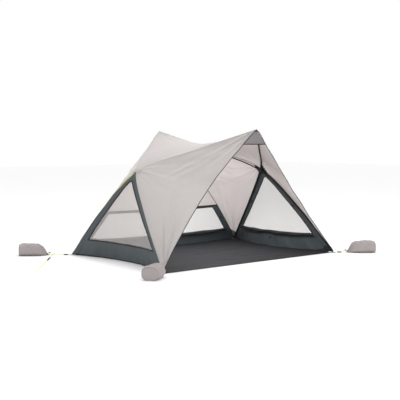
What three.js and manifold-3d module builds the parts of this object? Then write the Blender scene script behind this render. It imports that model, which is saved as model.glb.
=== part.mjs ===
// A beach shelter: two crossing arches of tent pole carry a saddle-shaped canopy whose four wings run down to
// the corners of a groundsheet. Slate walls with mesh windows close the two sides and the rear, the front is
// open, and a sandbag at each corner and a guy line on the left hub hold the shelter down.
// Units are millimetres. +X runs right along the open front edge, +Y to the rear, +Z up, and the origin is the
// middle of the groundsheet's underside.
import * as THREE from "three";
import { mergeVertices } from "three/addons/utils/BufferGeometryUtils.js";
import Module from "manifold-3d";

const wasm = await Module();
wasm.setup();

// ---- driving dimensions ----
const FOOT = new THREE.Vector3(1137, 803, 13); // centre of a pole tip's ball, in the +X +Y quarter
const HUB = new THREE.Vector3(840, 27, 880); // where the arches cross on the right; the left hub mirrors it in X
const PEAK = new THREE.Vector3(0, 795, 1300); // rear peak; the front peak mirrors it in Y
const SADDLE_HEIGHT = 1174; // canopy height half-way between the peaks
const LOWER_BULGE = 50; // how far a pole stands out from its chord below the hub
const UPPER_BULGE = 22; // and above it
const POLE_RADIUS = 4.75;
const POLE_SIDES = 8;
const POLE_STEPS = 20;
const CROSSING_OFFSET = 6.8; // each pole's distance from the hub's centre, one inside and one outside
const SKIN = { foot: 16, middle: 12, hub: 25, peak: 25 }; // seam's distance outside the pole's axis
const BODY_CENTRE = new THREE.Vector3(0, 0, 300); // seams are offset away from this point
const FABRIC = 2; // thickness of a fabric panel
const SEAM_GAP = 2.5; // from a seam to the panel's edge
const CORNER = { from: 0.95, trim: 0.032 }; // rows and share of a row left open round a pole tip
const EDGE_BOW = 86; // how far a wing's free edge curves in towards its hub
const FLOOR_BOW = { side: 175, rear: 110 }; // how far the floor's edges curve in
const HEM_DROP = 8; // how far a wall's hem drops from the pole tips to the floor
const HUB_CUTBACK = 0.045; // share of a panel's length left open round the hub
const PEAK_CUTBACK = 0.04;
const GUSSET = { top: 0.045, bottom: 0.12 }; // the front gusset's rows, as shares of the free edge
const SIDE_WINDOW = { top: 0.13, bottom: 0.82, strip: 90 }; // rows, and the slate strip's width beside it
const REAR_WINDOW = { top: 0.7, bottom: 0.906, strip: 95 };
const REAR_SPLIT = 0.687; // row where the rear wall changes from canopy cloth to slate
const FLOOR = { thickness: 2, inset: 8, cornerShare: 0.06, cornerCut: 84 };
const TAB = { inner: 62, outer: 40, width: 34, thickness: 2.4, eyelet: 4.4, slot: 5.5, slotAt: 28 };
const SOCKET = { radius: 8, bore: 5.5, poleStart: 20, end: 46, ball: 9, pin: 3.4 };
const HUB_BALL = 22;
const HUB_BORE = 5.8;
const BLIND = { radius: 21, standoff: 27, share: 0.9 };
// A toggle's place: a share of the strip's width from the seam, or of the band's height below the window.
const TOGGLE = { radius: 4, length: 26, stem: 2.2, base: 3.5, standoff: 12, strip: 0.66, below: 0.4 };
const BAG = { length: 300, width: 168, height: 130, lift: 0.2, sides: 14, squareness: 0.75 };
const LOCK = { radius: 6.5, length: 20, beforeNeck: 12, height: 26 }; // cord lock in front of a bag's neck
const STRAP = { width: 20, thickness: 2, height: 4, past: 1.5 }; // its middle's height, and its start past the slot
const CORD_SIDES = 8;
const GUY = { radius: 1.5, steps: 76, reach: 1148, startOut: 54, startUp: -2, strandGap: 8, spread: 62 };
const GUY_LOOP = 12; // half the width of the loop on the ground
// The loop's points: back from the line's far end, and across as a share of the half width.
const LOOP_POINTS = [
  { back: 30, across: 0.8 },
  { back: 12, across: 1 },
  { back: 3, across: 0.7 },
  { back: 0, across: 0 },
  { back: 3, across: -0.7 },
  { back: 12, across: -1 },
  { back: 30, across: -0.8 },
];
const RING = { out: 38, radius: 10, wire: 1.8 };
const RUNNER = { length: 40, width: 19, thickness: 8, bore: 2.4, fromGround: 172, tail: 78 };
const TETHER = { radius: 2, height: 6, steps: 12, past: 1, neckGap: 0.5 };
const ADJUSTER = { length: 46, width: 24, thickness: 9, bore: 3.2, fromTab: 13 };

const LEFT = -1;
const RIGHT = 1;
const FRONT = -1;
const REAR = 1;
const sideName = { [LEFT]: "left", [RIGHT]: "right" };
const endName = { [FRONT]: "front", [REAR]: "rear" };
const corners = [LEFT, RIGHT].flatMap((side) => [FRONT, REAR].map((end) => ({ side, end })));

// ---- materials ----
const finish = (color, roughness, metalness = 0) => new THREE.MeshStandardMaterial({ color, roughness, metalness });
const canopyCloth = finish(0xc8c2c0, 0.8);
const slateCloth = finish(0x4a5458, 0.8);
const meshCloth = new THREE.MeshStandardMaterial({ color: 0x9a9a98, roughness: 0.9, transparent: true, opacity: 0.5 });
const floorSheet = finish(0x48484a, 0.6);
const blindCloth = finish(0x2d2a2a, 0.85);
const bagCloth = finish(0xa59b9b, 0.85);
const webbing = finish(0x1c1c1e, 0.8);
const blackPlastic = finish(0x161617, 0.45);
const poleFinish = finish(0x26262a, 0.35);
const yellowCord = finish(0xd9e03a, 0.7);

// ---- the object ----
const shelter = new THREE.Group();

function place(name, geometry, material) {
  const mesh = new THREE.Mesh(geometry, material);
  mesh.name = name;
  shelter.add(mesh);
  return mesh;
}

// ---- solids ----
function solid(geometry) {
  const bare = (geometry.index ? geometry.toNonIndexed() : geometry).clone();
  bare.deleteAttribute("normal");
  bare.deleteAttribute("uv");
  const merged = mergeVertices(bare, 1e-4);
  return new wasm.Manifold(
    new wasm.Mesh({
      numProp: 3,
      vertProperties: merged.attributes.position.array,
      triVerts: new Uint32Array(merged.index.array),
    }),
  );
}

function geometryOf(manifold) {
  const { vertProperties, triVerts } = manifold.getMesh();
  return new THREE.BufferGeometry()
    .setAttribute("position", new THREE.BufferAttribute(vertProperties, 3))
    .setIndex(new THREE.BufferAttribute(triVerts, 1));
}

const union = (...geometries) => geometryOf(geometries.map(solid).reduce((sum, piece) => sum.add(piece)));
const cut = (body, ...tools) => geometryOf(tools.map(solid).reduce((rest, tool) => rest.subtract(tool), solid(body)));

// A geometry made along +Z, moved so that its origin is at `origin` and +Z runs along `direction`.
function aim(geometry, origin, direction) {
  const turn = new THREE.Quaternion().setFromUnitVectors(new THREE.Vector3(0, 0, 1), direction.clone().normalize());
  return geometry.clone().applyQuaternion(turn).translate(origin.x, origin.y, origin.z);
}

// A rod of the given radius from `start` to `end`.
function rod(start, end, radius, sides = POLE_SIDES) {
  const along = end.clone().sub(start);
  const cylinder = new THREE.CylinderGeometry(radius, radius, along.length(), sides);
  cylinder.rotateX(Math.PI / 2).translate(0, 0, along.length() / 2);
  return aim(cylinder, start, along);
}

function sweep(curve, radius, sides, steps) {
  const section = new THREE.Shape();
  for (let i = 0; i < sides; i++) {
    const angle = (2 * Math.PI * i) / sides;
    section[i ? "lineTo" : "moveTo"](radius * Math.cos(angle), radius * Math.sin(angle));
  }
  return new THREE.ExtrudeGeometry(section, { steps, bevelEnabled: false, extrudePath: curve });
}

// A sheet of fabric as a closed solid. `grid` is rows of points on its middle surface, and `keep` says which of
// the cells between them are fabric, so that a window is a block of cells left out. `out` points off its face.
function fabric(grid, out, keep = () => true, thickness = FABRIC) {
  const rowCount = grid.length;
  const columnCount = grid[0].length;
  const normalAt = (i, j) => {
    const down = grid[Math.min(i + 1, rowCount - 1)][j].clone().sub(grid[Math.max(i - 1, 0)][j]);
    const along = grid[i][Math.min(j + 1, columnCount - 1)].clone().sub(grid[i][Math.max(j - 1, 0)]);
    const normal = down.cross(along).normalize();
    return normal.dot(out) < 0 ? normal.negate() : normal;
  };
  const face = (offset) => grid.map((row, i) => row.map((p, j) => p.clone().addScaledVector(normalAt(i, j), offset)));
  const top = face(thickness / 2);
  const bottom = face(-thickness / 2);
  const middle = Math.floor(rowCount / 2);
  const step = grid[middle][1].clone().sub(grid[middle][0]);
  const forward = grid[middle][0].clone().sub(grid[middle - 1][0]).cross(step).dot(out) > 0;
  const positions = [];
  const triangle = (a, b, c) => {
    const turned = forward ? [a, b, c] : [a, c, b];
    positions.push(...turned.flatMap((p) => p.toArray()));
  };
  const quad = (a, b, c, d) => {
    triangle(a, b, c);
    triangle(a, c, d);
  };
  const isFabric = (i, j) => i >= 0 && j >= 0 && i < rowCount - 1 && j < columnCount - 1 && keep(i, j);
  for (let i = 0; i < rowCount - 1; i++) {
    for (let j = 0; j < columnCount - 1; j++) {
      if (!isFabric(i, j)) continue;
      quad(top[i][j], top[i + 1][j], top[i + 1][j + 1], top[i][j + 1]);
      quad(bottom[i][j], bottom[i][j + 1], bottom[i + 1][j + 1], bottom[i + 1][j]);
      if (!isFabric(i - 1, j)) quad(top[i][j], top[i][j + 1], bottom[i][j + 1], bottom[i][j]);
      if (!isFabric(i + 1, j)) quad(bottom[i + 1][j], bottom[i + 1][j + 1], top[i + 1][j + 1], top[i + 1][j]);
      if (!isFabric(i, j - 1)) quad(bottom[i][j], bottom[i + 1][j], top[i + 1][j], top[i][j]);
      if (!isFabric(i, j + 1)) quad(top[i][j + 1], top[i + 1][j + 1], bottom[i + 1][j + 1], bottom[i][j + 1]);
    }
  }
  return new THREE.BufferGeometry().setAttribute("position", new THREE.Float32BufferAttribute(positions, 3));
}

// ---- the lines that the fabric and the poles follow ----
const mirrored = (point, side, end) => new THREE.Vector3(point.x * side, point.y * end, point.z);
const footAt = (side, end) => mirrored(FOOT, side, end);
const hubAt = (side) => mirrored(HUB, side, 1);
const peakAt = (end) => mirrored(PEAK, 1, end);

// The way that an arch's hub stands off the straight line from its foot to its peak.
function hubOut(side, end) {
  const foot = footAt(side, end);
  const chord = new THREE.Line3(foot, peakAt(-end));
  const nearest = chord.closestPointToPoint(hubAt(side), true, new THREE.Vector3());
  return hubAt(side).sub(nearest).normalize();
}

// The way off a hub that all four panels' seams share, half-way between its two arches' own.
const hubNormal = (side) => hubOut(side, FRONT).add(hubOut(side, REAR)).normalize();

// A point half-way from a to b, standing off the chord by `bulge` on the side that `out` points to.
function bulged(a, b, bulge, out) {
  const chord = b.clone().sub(a).normalize();
  const off = out.clone().addScaledVector(chord, -out.dot(chord)).normalize();
  return a.clone().lerp(b, 0.5).addScaledVector(off, bulge);
}

// One side of an arch, from the foot at (side, end) over the hub to the peak at the other end. The curve's
// parameter is 0 at the foot, 0.5 at the hub and 1 at the peak.
function archCurve(side, end, foot, hub, peak) {
  const out = hubOut(side, end);
  const points = [foot, bulged(foot, hub, LOWER_BULGE, out), hub, bulged(hub, peak, UPPER_BULGE, out), peak];
  return new THREE.CatmullRomCurve3(points, false, "centripetal");
}

function poleCurve(side, end) {
  const hub = hubAt(side).addScaledVector(hubOut(side, end), end * CROSSING_OFFSET);
  return archCurve(side, end, footAt(side, end), hub, peakAt(-end));
}

// The seam over a pole: the pole's line moved out by the skin's distances.
function seamCurve(side, end) {
  const foot = footAt(side, end);
  const level = new THREE.Vector3(foot.x, foot.y, 0).normalize();
  const lift = (point, distance) => point.addScaledVector(point.clone().sub(BODY_CENTRE).normalize(), distance);
  const axis = archCurve(side, end, foot, hubAt(side), peakAt(-end));
  const points = [
    foot.clone().addScaledVector(level, SKIN.foot),
    lift(axis.getPoint(0.25), SKIN.middle),
    hubAt(side).addScaledVector(hubNormal(side), SKIN.hub),
    lift(axis.getPoint(0.75), SKIN.middle),
    lift(peakAt(-end), SKIN.peak),
  ];
  return new THREE.CatmullRomCurve3(points, false, "centripetal");
}

const seams = new Map(corners.map(({ side, end }) => [`${side},${end}`, seamCurve(side, end)]));
const lowerSeam = (side, end) => (s) => seams.get(`${side},${end}`).getPoint(0.5 * (1 - s)); // hub to foot
const upperSeam = (side, end) => (s) => seams.get(`${side},${-end}`).getPoint(0.5 * (1 + s)); // hub to the peak at end
const skinFoot = (side, end) => lowerSeam(side, end)(1);
const skinPeak = (end) => upperSeam(LEFT, end)(1);
const skinHub = (side) => lowerSeam(side, REAR)(0);

// The vector by which the middle of a wing's free edge curves in towards its hub.
function edgeBow(side, end) {
  const middle = skinPeak(end).lerp(skinFoot(side, end), 0.5);
  return skinHub(side).sub(middle).setLength(EDGE_BOW);
}

// ---- surfaces: functions of s, down a panel from 0 to 1, and t, across it from 0 to 1 ----
// Rows run from one line to the other, and curve by `bow` more and more towards the last row.
const fan = (lineA, lineB, bow) => (s, t) =>
  lineA(s).lerp(lineB(s), t).addScaledVector(bow, 4 * t * (1 - t) * s * s);

const wingSurface = (side, end) => fan(upperSeam(side, end), lowerSeam(side, end), edgeBow(side, end));
const freeEdge = (side, end) => (s) => wingSurface(side, end)(1, s); // peak to foot

const sideBow = (side) => new THREE.Vector3(-side * FLOOR_BOW.side, 0, -HEM_DROP);
const sideSurface = (side) => fan(lowerSeam(side, FRONT), lowerSeam(side, REAR), sideBow(side));
const rearSurface = fan(freeEdge(LEFT, REAR), freeEdge(RIGHT, REAR), new THREE.Vector3(0, -FLOOR_BOW.rear, -HEM_DROP));
const gussetSurface = fan(freeEdge(LEFT, FRONT), freeEdge(RIGHT, FRONT), new THREE.Vector3(0, 0, 0));

// The saddle between the four upper seams: u runs from the left hub to the rear peak, v to the front peak.
function topSurface(u, v) {
  const rearLeft = upperSeam(LEFT, REAR)(u);
  const frontRight = upperSeam(RIGHT, FRONT)(1 - u);
  const frontLeft = upperSeam(LEFT, FRONT)(v);
  const rearRight = upperSeam(RIGHT, REAR)(1 - v);
  const acrossV = rearLeft.lerp(frontRight, v);
  const acrossU = frontLeft.lerp(rearRight, u);
  const leftCorners = skinHub(LEFT).lerp(skinPeak(REAR), u);
  const rightCorners = skinPeak(FRONT).lerp(skinHub(RIGHT), u);
  const point = acrossV.add(acrossU).sub(leftCorners.lerp(rightCorners, v));
  point.z += topLift * 16 * u * (1 - u) * v * (1 - v);
  return point;
}
let topLift = 0;
topLift = SADDLE_HEIGHT - topSurface(0.5, 0.5).z;

// ---- panels ----
const LAST_ROW = 0.996; // the row along a free edge or a hem
const INNER_GAP = 6; // gap beside a panel that has a wing on each side
// Roughly which way each wall faces; a side wall leans back.
const OUTWARD = {
  left: new THREE.Vector3(LEFT, 0, 0.3),
  right: new THREE.Vector3(RIGHT, 0, 0.3),
  rear: new THREE.Vector3(0, REAR, 0),
};
const steps = (from, to, count) => Array.from({ length: count + 1 }, (_, i) => from + ((to - from) * i) / count);

// The share of row s that is left out at each end: the seam's gap, or more beside a pole tip.
function edgeShare(surface, s, gap) {
  const seam = gap / surface(s, 0).distanceTo(surface(s, 1));
  return s > CORNER.from ? Math.max(seam, CORNER.trim) : seam;
}

// A surface's points on the given rows, with the edges `gap` in from the two lines.
function gridOn(surface, rows, columnCount, gap = SEAM_GAP) {
  return rows.map((s) => {
    const share = edgeShare(surface, s, gap);
    return steps(share, 1 - share, columnCount).map((t) => surface(s, t));
  });
}

// Rows and columns for a wall with a window: the strip beside the window keeps its width all the way down.
function windowGrid(surface, rows, strip, columnCount, gap = SEAM_GAP) {
  return rows.map((s) => {
    const width = surface(s, 0).distanceTo(surface(s, 1));
    const inner = steps(Math.min(strip / width, 0.45), Math.max(1 - strip / width, 0.55), columnCount - 2);
    const edge = edgeShare(surface, s, gap);
    return [edge, ...inner, 1 - edge].map((t) => surface(s, t));
  });
}

function addWing({ side, end }) {
  const grid = gridOn(wingSurface(side, end), steps(HUB_CUTBACK, LAST_ROW, 7), 8);
  const out = new THREE.Vector3(side * 0.7, end * 0.4, 0.6);
  place(`wing_${endName[end]}_${sideName[side]}`, fabric(grid, out), canopyCloth);
}

function addTop() {
  const cuts = [HUB_CUTBACK, 0.16, 0.28, 0.4, 0.5, 0.6, 0.72, 0.84, 1 - HUB_CUTBACK];
  const edge = 0.004;
  const lines = [edge, ...cuts, 1 - edge];
  const last = lines.length - 2;
  const grid = lines.map((u) => lines.map((v) => topSurface(u, v)));
  const isCorner = (i, j) => (i === 0 || i === last) && (j === 0 || j === last);
  place("canopy_top", fabric(grid, new THREE.Vector3(0, 0, 1), (i, j) => !isCorner(i, j)), canopyCloth);
}

function addGusset() {
  const rows = steps(GUSSET.top, GUSSET.bottom, 2);
  place("front_gusset", fabric(gridOn(gussetSurface, rows, 4, INNER_GAP), new THREE.Vector3(0, FRONT, 0)), canopyCloth);
}

const WINDOW_COLUMNS = 10;
const MESH_INSET = { rows: 0.0006, side: 0.6 }; // share of the rows, and millimetres, in from the window's edges

// A slate frame round a mesh window, both on one surface.
function addWindowWall(names, surface, out, window, from) {
  const above = steps(from, window.top, 2);
  const beside = steps(window.top, window.bottom, 5);
  const below = steps(window.bottom, LAST_ROW, 2);
  const rows = [...above, ...beside.slice(1), ...below.slice(1)];
  const firstRow = above.length - 1;
  const lastRow = firstRow + beside.length - 1;
  const inWindow = (i, j) => i >= firstRow && i < lastRow && j > 0 && j < WINDOW_COLUMNS - 1;
  const grid = windowGrid(surface, rows, window.strip, WINDOW_COLUMNS);
  place(names.frame, fabric(grid, out, (i, j) => !inWindow(i, j)), slateCloth);

  const meshRows = [window.top + MESH_INSET.rows, ...beside.slice(1, -1), window.bottom - MESH_INSET.rows];
  const meshGrid = windowGrid(surface, meshRows, window.strip + MESH_INSET.side, WINDOW_COLUMNS);
  const inner = meshGrid.map((row) => row.slice(1, -1));
  place(names.mesh, fabric(inner, out, () => true, FABRIC / 2), meshCloth);
}

function addWalls() {
  for (const side of [LEFT, RIGHT]) {
    const names = { frame: `side_wall_${sideName[side]}`, mesh: `mesh_window_${sideName[side]}` };
    addWindowWall(names, sideSurface(side), OUTWARD[sideName[side]], SIDE_WINDOW, HUB_CUTBACK);
  }
  const names = { frame: "rear_wall_lower", mesh: "mesh_window_rear" };
  addWindowWall(names, rearSurface, OUTWARD.rear, REAR_WINDOW, REAR_SPLIT + 0.001);
  const upperRows = steps(PEAK_CUTBACK, REAR_SPLIT, 5);
  place("rear_wall_upper", fabric(gridOn(rearSurface, upperRows, 8, INNER_GAP), OUTWARD.rear), canopyCloth);
}

// The groundsheet's outline is straight along the front and follows the walls' hems on the other three sides. It
// is cut off short of each corner, where the webbing tab lies.
function addGroundsheet() {
  const hem = (surface) => steps(FLOOR.cornerShare, 1 - FLOOR.cornerShare, 8).map((t) => surface(1, t));
  const frontX = FOOT.x - FLOOR.cornerCut;
  const front = [LEFT, RIGHT].map((side) => new THREE.Vector3(side * frontX, -FOOT.y, 0));
  const outline = [front[1], ...hem(sideSurface(RIGHT)), ...hem(rearSurface).reverse()];
  outline.push(...hem(sideSurface(LEFT)).reverse(), front[0]);
  const flat = outline.map((p) => new THREE.Vector2(p.x, p.y)).map((p) => p.setLength(p.length() - FLOOR.inset));
  const shape = new THREE.Shape(flat);
  place("groundsheet", new THREE.ExtrudeGeometry(shape, { depth: FLOOR.thickness, bevelEnabled: false }), floorSheet);
}

// ---- frame ----
const bead = (centre, radius) => new THREE.SphereGeometry(radius, 12, 8).translate(centre.x, centre.y, centre.z);

// A cup for a pole end, on the line from `centre` along `direction`, and the bore that is cut out of it.
function cup(centre, direction) {
  const along = (distance) => centre.clone().addScaledVector(direction, distance);
  return {
    body: rod(centre, along(SOCKET.end), SOCKET.radius, 12),
    bore: rod(along(SOCKET.poleStart - 0.4), along(SOCKET.end + 5), SOCKET.bore, 12),
  };
}

// The part of a curve between two distances from its ends, as a curve of its own.
function trimmed(curve, startTrim, endTrim, count) {
  const length = curve.getLength();
  const shares = steps(startTrim / length, 1 - endTrim / length, count);
  return new THREE.CatmullRomCurve3(shares.map((share) => curve.getPointAt(share)), false, "centripetal");
}

// The direction from a pole's end point into the pole, measured over the length of a cup.
function endDirection(curve, fromStart) {
  const length = curve.getLength();
  const share = SOCKET.end / length;
  const end = curve.getPointAt(fromStart ? 0 : 1);
  return curve.getPointAt(fromStart ? share : 1 - share).sub(end).normalize();
}

const poleLength = (side, end) => trimmed(poleCurve(side, end), SOCKET.poleStart, SOCKET.poleStart, POLE_STEPS);

function addPoles() {
  for (const { side, end } of corners) {
    const name = `${endName[end]}_${sideName[side]}`;
    place(`pole_${name}`, sweep(poleLength(side, end), POLE_RADIUS, POLE_SIDES, POLE_STEPS), poleFinish);
    const foot = footAt(side, end);
    const socket = cup(foot, endDirection(poleCurve(side, end), true));
    const pin = rod(new THREE.Vector3(foot.x, foot.y, 0.4), foot, SOCKET.pin, 10);
    place(`pole_tip_${name}`, cut(union(bead(foot, SOCKET.ball), pin, socket.body), socket.bore), blackPlastic);
  }
  for (const end of [FRONT, REAR]) {
    const peak = peakAt(end);
    const cups = [LEFT, RIGHT].map((side) => cup(peak, endDirection(poleCurve(side, -end), false)));
    const body = union(bead(peak, SOCKET.ball + 1), cups[0].body, cups[1].body);
    place(`peak_elbow_${endName[end]}`, cut(body, cups[0].bore, cups[1].bore), blackPlastic);
  }
}

// A hub is a ball with a bore for each of the two poles that cross in it, one behind the other.
function addHubs() {
  for (const side of [LEFT, RIGHT]) {
    const bores = [FRONT, REAR].map((end) => {
      return sweep(poleLength(side, end), HUB_BORE, POLE_SIDES, POLE_STEPS);
    });
    place(`crossing_hub_${sideName[side]}`, cut(bead(hubAt(side), HUB_BALL), ...bores), blackPlastic);
  }
}

// ---- corners: tab, link, sandbag ----
const outward = (side, end) => new THREE.Vector3(footAt(side, end).x, footAt(side, end).y, 0).normalize();

// Local frame of a corner: +X out along the corner's diagonal, +Z up, origin on the floor under the pole tip.
function cornerFrame(side, end) {
  const out = outward(side, end);
  const foot = footAt(side, end);
  const across = new THREE.Vector3(-out.y, out.x, 0);
  return new THREE.Matrix4().makeBasis(out, across, new THREE.Vector3(0, 0, 1)).setPosition(foot.x, foot.y, 0);
}

function addTab({ side, end }) {
  const half = TAB.width / 2;
  const shape = new THREE.Shape();
  shape.moveTo(-TAB.inner, -half);
  shape.lineTo(TAB.outer, -half);
  shape.lineTo(TAB.outer, half);
  shape.lineTo(-TAB.inner, half);
  const hole = (x, radius) => new THREE.Path().absarc(x, 0, radius, 0, 2 * Math.PI, true);
  shape.holes.push(hole(0, TAB.eyelet), hole(TAB.slotAt, TAB.slot));
  const tab = new THREE.ExtrudeGeometry(shape, { depth: TAB.thickness, bevelEnabled: false, curveSegments: 6 });
  place(`corner_tab_${endName[end]}_${sideName[side]}`, tab.applyMatrix4(cornerFrame(side, end)), webbing);
}

// A filled bag lying on its flat underside, from its gathered neck at x = start to its closed end.
function bagGeometry(start) {
  const profile = [
    { at: 0, size: 0.12 },
    { at: 0.05, size: 0.22 },
    { at: 0.16, size: 0.62 },
    { at: 0.32, size: 0.9 },
    { at: 0.6, size: 1 },
    { at: 0.88, size: 0.96 },
    { at: 0.97, size: 0.86 },
    { at: 1, size: 0.72 },
  ];
  const bent = (value) => Math.sign(value) * Math.abs(value) ** BAG.squareness;
  const ring = ({ at, size }) =>
    Array.from({ length: BAG.sides }, (_, i) => {
      const angle = (2 * Math.PI * i) / BAG.sides;
      const y = 0.5 * BAG.width * size * bent(Math.cos(angle));
      const z = 0.5 * BAG.height * size * (bent(Math.sin(angle)) + 1) + BAG.lift;
      return new THREE.Vector3(start + BAG.length * at, y, z);
    });
  return loft(profile.map(ring));
}

// A closed loft through rings of points, with a flat cap on the first and last ring.
function loft(rings) {
  const positions = [];
  const triangle = (a, b, c) => positions.push(...a.toArray(), ...b.toArray(), ...c.toArray());
  const count = rings[0].length;
  for (let k = 0; k < rings.length - 1; k++) {
    for (let i = 0; i < count; i++) {
      const next = (i + 1) % count;
      triangle(rings[k][i], rings[k][next], rings[k + 1][next]);
      triangle(rings[k][i], rings[k + 1][next], rings[k + 1][i]);
    }
  }
  for (let i = 1; i < count - 1; i++) {
    triangle(rings[0][0], rings[0][i + 1], rings[0][i]);
    const last = rings[rings.length - 1];
    triangle(last[0], last[i], last[i + 1]);
  }
  return new THREE.BufferGeometry().setAttribute("position", new THREE.Float32BufferAttribute(positions, 3));
}

// Where each bag's neck starts, out from the pole tip, and whether a cord or only a short strap reaches it.
const bagPlans = [
  { side: LEFT, end: FRONT, neck: 86, cord: false },
  { side: RIGHT, end: FRONT, neck: 160, cord: true },
  { side: LEFT, end: REAR, neck: 262, cord: true },
  { side: RIGHT, end: REAR, neck: 86, cord: false },
];

function addBag({ side, end, neck, cord }) {
  const frame = cornerFrame(side, end);
  const name = `${endName[end]}_${sideName[side]}`;
  place(`sandbag_${name}`, bagGeometry(neck).applyMatrix4(frame), bagCloth);
  const lock = new THREE.CylinderGeometry(LOCK.radius, LOCK.radius, LOCK.length, 12).rotateZ(Math.PI / 2);
  lock.translate(neck - LOCK.beforeNeck, 0, LOCK.height);
  place(`cord_lock_${name}`, lock.applyMatrix4(frame), blackPlastic);
  if (cord) addTether(name, neck, frame);
  else addStrap(name, neck, frame);
}

// A flat webbing strap, from above the tab's slot to the bag's neck.
function addStrap(name, neck, frame) {
  const from = TAB.slotAt + TAB.slot + STRAP.past;
  const to = neck - TETHER.neckGap;
  const strap = new THREE.BoxGeometry(to - from, STRAP.width, STRAP.thickness);
  strap.translate((from + to) / 2, 0, STRAP.height);
  place(`link_strap_${name}`, strap.applyMatrix4(frame), webbing);
}

// A yellow cord along the floor, through an adjuster near the tab, to the bag's neck.
function addTether(name, neck, frame) {
  const at = (x) => new THREE.Vector3(x, 0, TETHER.height);
  const from = TAB.outer + TETHER.past;
  const line = new THREE.LineCurve3(at(from), at(neck - TETHER.neckGap));
  const cord = sweep(line, TETHER.radius, CORD_SIDES, TETHER.steps);
  place(`tether_cord_${name}`, cord.applyMatrix4(frame), yellowCord);
  const centre = from + ADJUSTER.length / 2 + ADJUSTER.fromTab;
  const block = new THREE.BoxGeometry(ADJUSTER.length, ADJUSTER.width, ADJUSTER.thickness);
  block.translate(centre, 0, TETHER.height);
  const bore = rod(at(centre - ADJUSTER.length), at(centre + ADJUSTER.length), ADJUSTER.bore, 10);
  place(`tether_adjuster_${name}`, cut(block, bore).applyMatrix4(frame), blackPlastic);
}

// ---- windows: rolled blinds and their toggles ----
const windows = [
  { name: "left", surface: sideSurface(LEFT), plan: SIDE_WINDOW, edges: ["front", "rear"] },
  { name: "right", surface: sideSurface(RIGHT), plan: SIDE_WINDOW, edges: ["front", "rear"] },
  { name: "rear", surface: rearSurface, plan: REAR_WINDOW, edges: ["left", "right"] },
];

// The unit normal of a surface at (s, t), pointing the way that `out` does.
function normalOf(surface, s, t, out) {
  const small = 0.01;
  const down = surface(s + small, t).sub(surface(s - small, t));
  const across = surface(s, t + small).sub(surface(s, t - small));
  const normal = down.cross(across).normalize();
  return normal.dot(out) < 0 ? normal.negate() : normal;
}

function addBlind({ name, surface, plan }) {
  const width = surface(plan.bottom, 0).distanceTo(surface(plan.bottom, 1));
  const share = (plan.strip / width) * BLIND.share;
  const points = steps(share, 1 - share, 12).map((t) => {
    const normal = normalOf(surface, plan.bottom, t, OUTWARD[name]);
    return surface(plan.bottom, t).addScaledVector(normal, -BLIND.standoff);
  });
  const curve = new THREE.CatmullRomCurve3(points, false, "centripetal");
  place(`rolled_blind_${name}`, sweep(curve, BLIND.radius, 10, 14), blindCloth);
}

// Two toggles beside each window and one below it. Each is a barrel on a short stem, on the wall's inner face.
function addToggles({ name, surface, plan, edges }) {
  const middle = (plan.top + plan.bottom) / 2;
  const beside = (plan.strip * TOGGLE.strip) / surface(middle, 0).distanceTo(surface(middle, 1));
  const spots = [
    { label: edges[0], s: middle, t: beside },
    { label: edges[1], s: middle, t: 1 - beside },
    { label: "lower", s: plan.bottom + (1 - plan.bottom) * TOGGLE.below, t: 0.5 },
  ];
  for (const { label, s, t } of spots) {
    const normal = normalOf(surface, s, t, OUTWARD[name]);
    const base = surface(s, t).addScaledVector(normal, -TOGGLE.base);
    const centre = surface(s, t).addScaledVector(normal, -TOGGLE.standoff);
    const along = surface(s + 0.02, t).sub(surface(s - 0.02, t)).normalize();
    const half = TOGGLE.length / 2;
    const from = centre.clone().addScaledVector(along, -half);
    const to = centre.clone().addScaledVector(along, half);
    const body = union(rod(from, to, TOGGLE.radius), rod(base, centre, TOGGLE.stem));
    place(`toggle_${name}_${label}`, body, blackPlastic);
  }
}

// ---- guy line ----
function guyFrame() {
  const hub = hubAt(LEFT);
  const start = hub.clone().add(new THREE.Vector3(-GUY.startOut, 0, GUY.startUp));
  const end = new THREE.Vector3(hub.x - GUY.reach, hub.y, GUY.radius + 0.6);
  const down = end.clone().sub(start);
  return { start, end, length: down.length(), down: down.normalize() };
}

// The line runs straight down from the ring through the runner, round a loop on the ground, and back up through
// the runner's second bore to its stop knot.
function guyPoints({ start, length, down }) {
  const sideways = new THREE.Vector3(0, 1, 0);
  const at = (distance, across) => start.clone().addScaledVector(down, distance).addScaledVector(sideways, across);
  const runner = length - RUNNER.fromGround;
  const tailTop = runner - RUNNER.tail;
  const spread = length - GUY.spread;
  const belowRunner = (runner + spread) / 2;
  const goingDown = [0, 0.25 * length, 0.5 * length, 0.75 * length, tailTop, runner, spread].map((d) => at(d, 0));
  const loop = LOOP_POINTS.map(({ back, across }) => at(length - back, GUY_LOOP * across - GUY.strandGap / 2));
  const goingUp = [spread, belowRunner, runner, (runner + tailTop) / 2, tailTop].map((d) => at(d, -GUY.strandGap));
  return [...goingDown, ...loop, ...goingUp];
}

function addGuy() {
  const frame = guyFrame();
  const curve = new THREE.CatmullRomCurve3(guyPoints(frame), false, "centripetal");
  place("guy_line", sweep(curve, GUY.radius, CORD_SIDES, GUY.steps), yellowCord);

  const centre = frame.start.clone().addScaledVector(frame.down, frame.length - RUNNER.fromGround);
  centre.y -= GUY.strandGap / 2;
  const sideways = new THREE.Vector3(0, 1, 0);
  const basis = new THREE.Matrix4().makeBasis(frame.down, sideways, frame.down.clone().cross(sideways));
  const bar = new THREE.BoxGeometry(RUNNER.length, RUNNER.width, RUNNER.thickness).applyMatrix4(basis);
  bar.translate(centre.x, centre.y, centre.z);
  const bores = [-0.5, 0.5].map((share) => {
    const middle = centre.clone().addScaledVector(sideways, share * GUY.strandGap);
    const from = middle.clone().addScaledVector(frame.down, -RUNNER.length);
    return rod(from, middle.addScaledVector(frame.down, RUNNER.length), RUNNER.bore, 10);
  });
  place("guy_runner", cut(bar, ...bores), blackPlastic);
}

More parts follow.
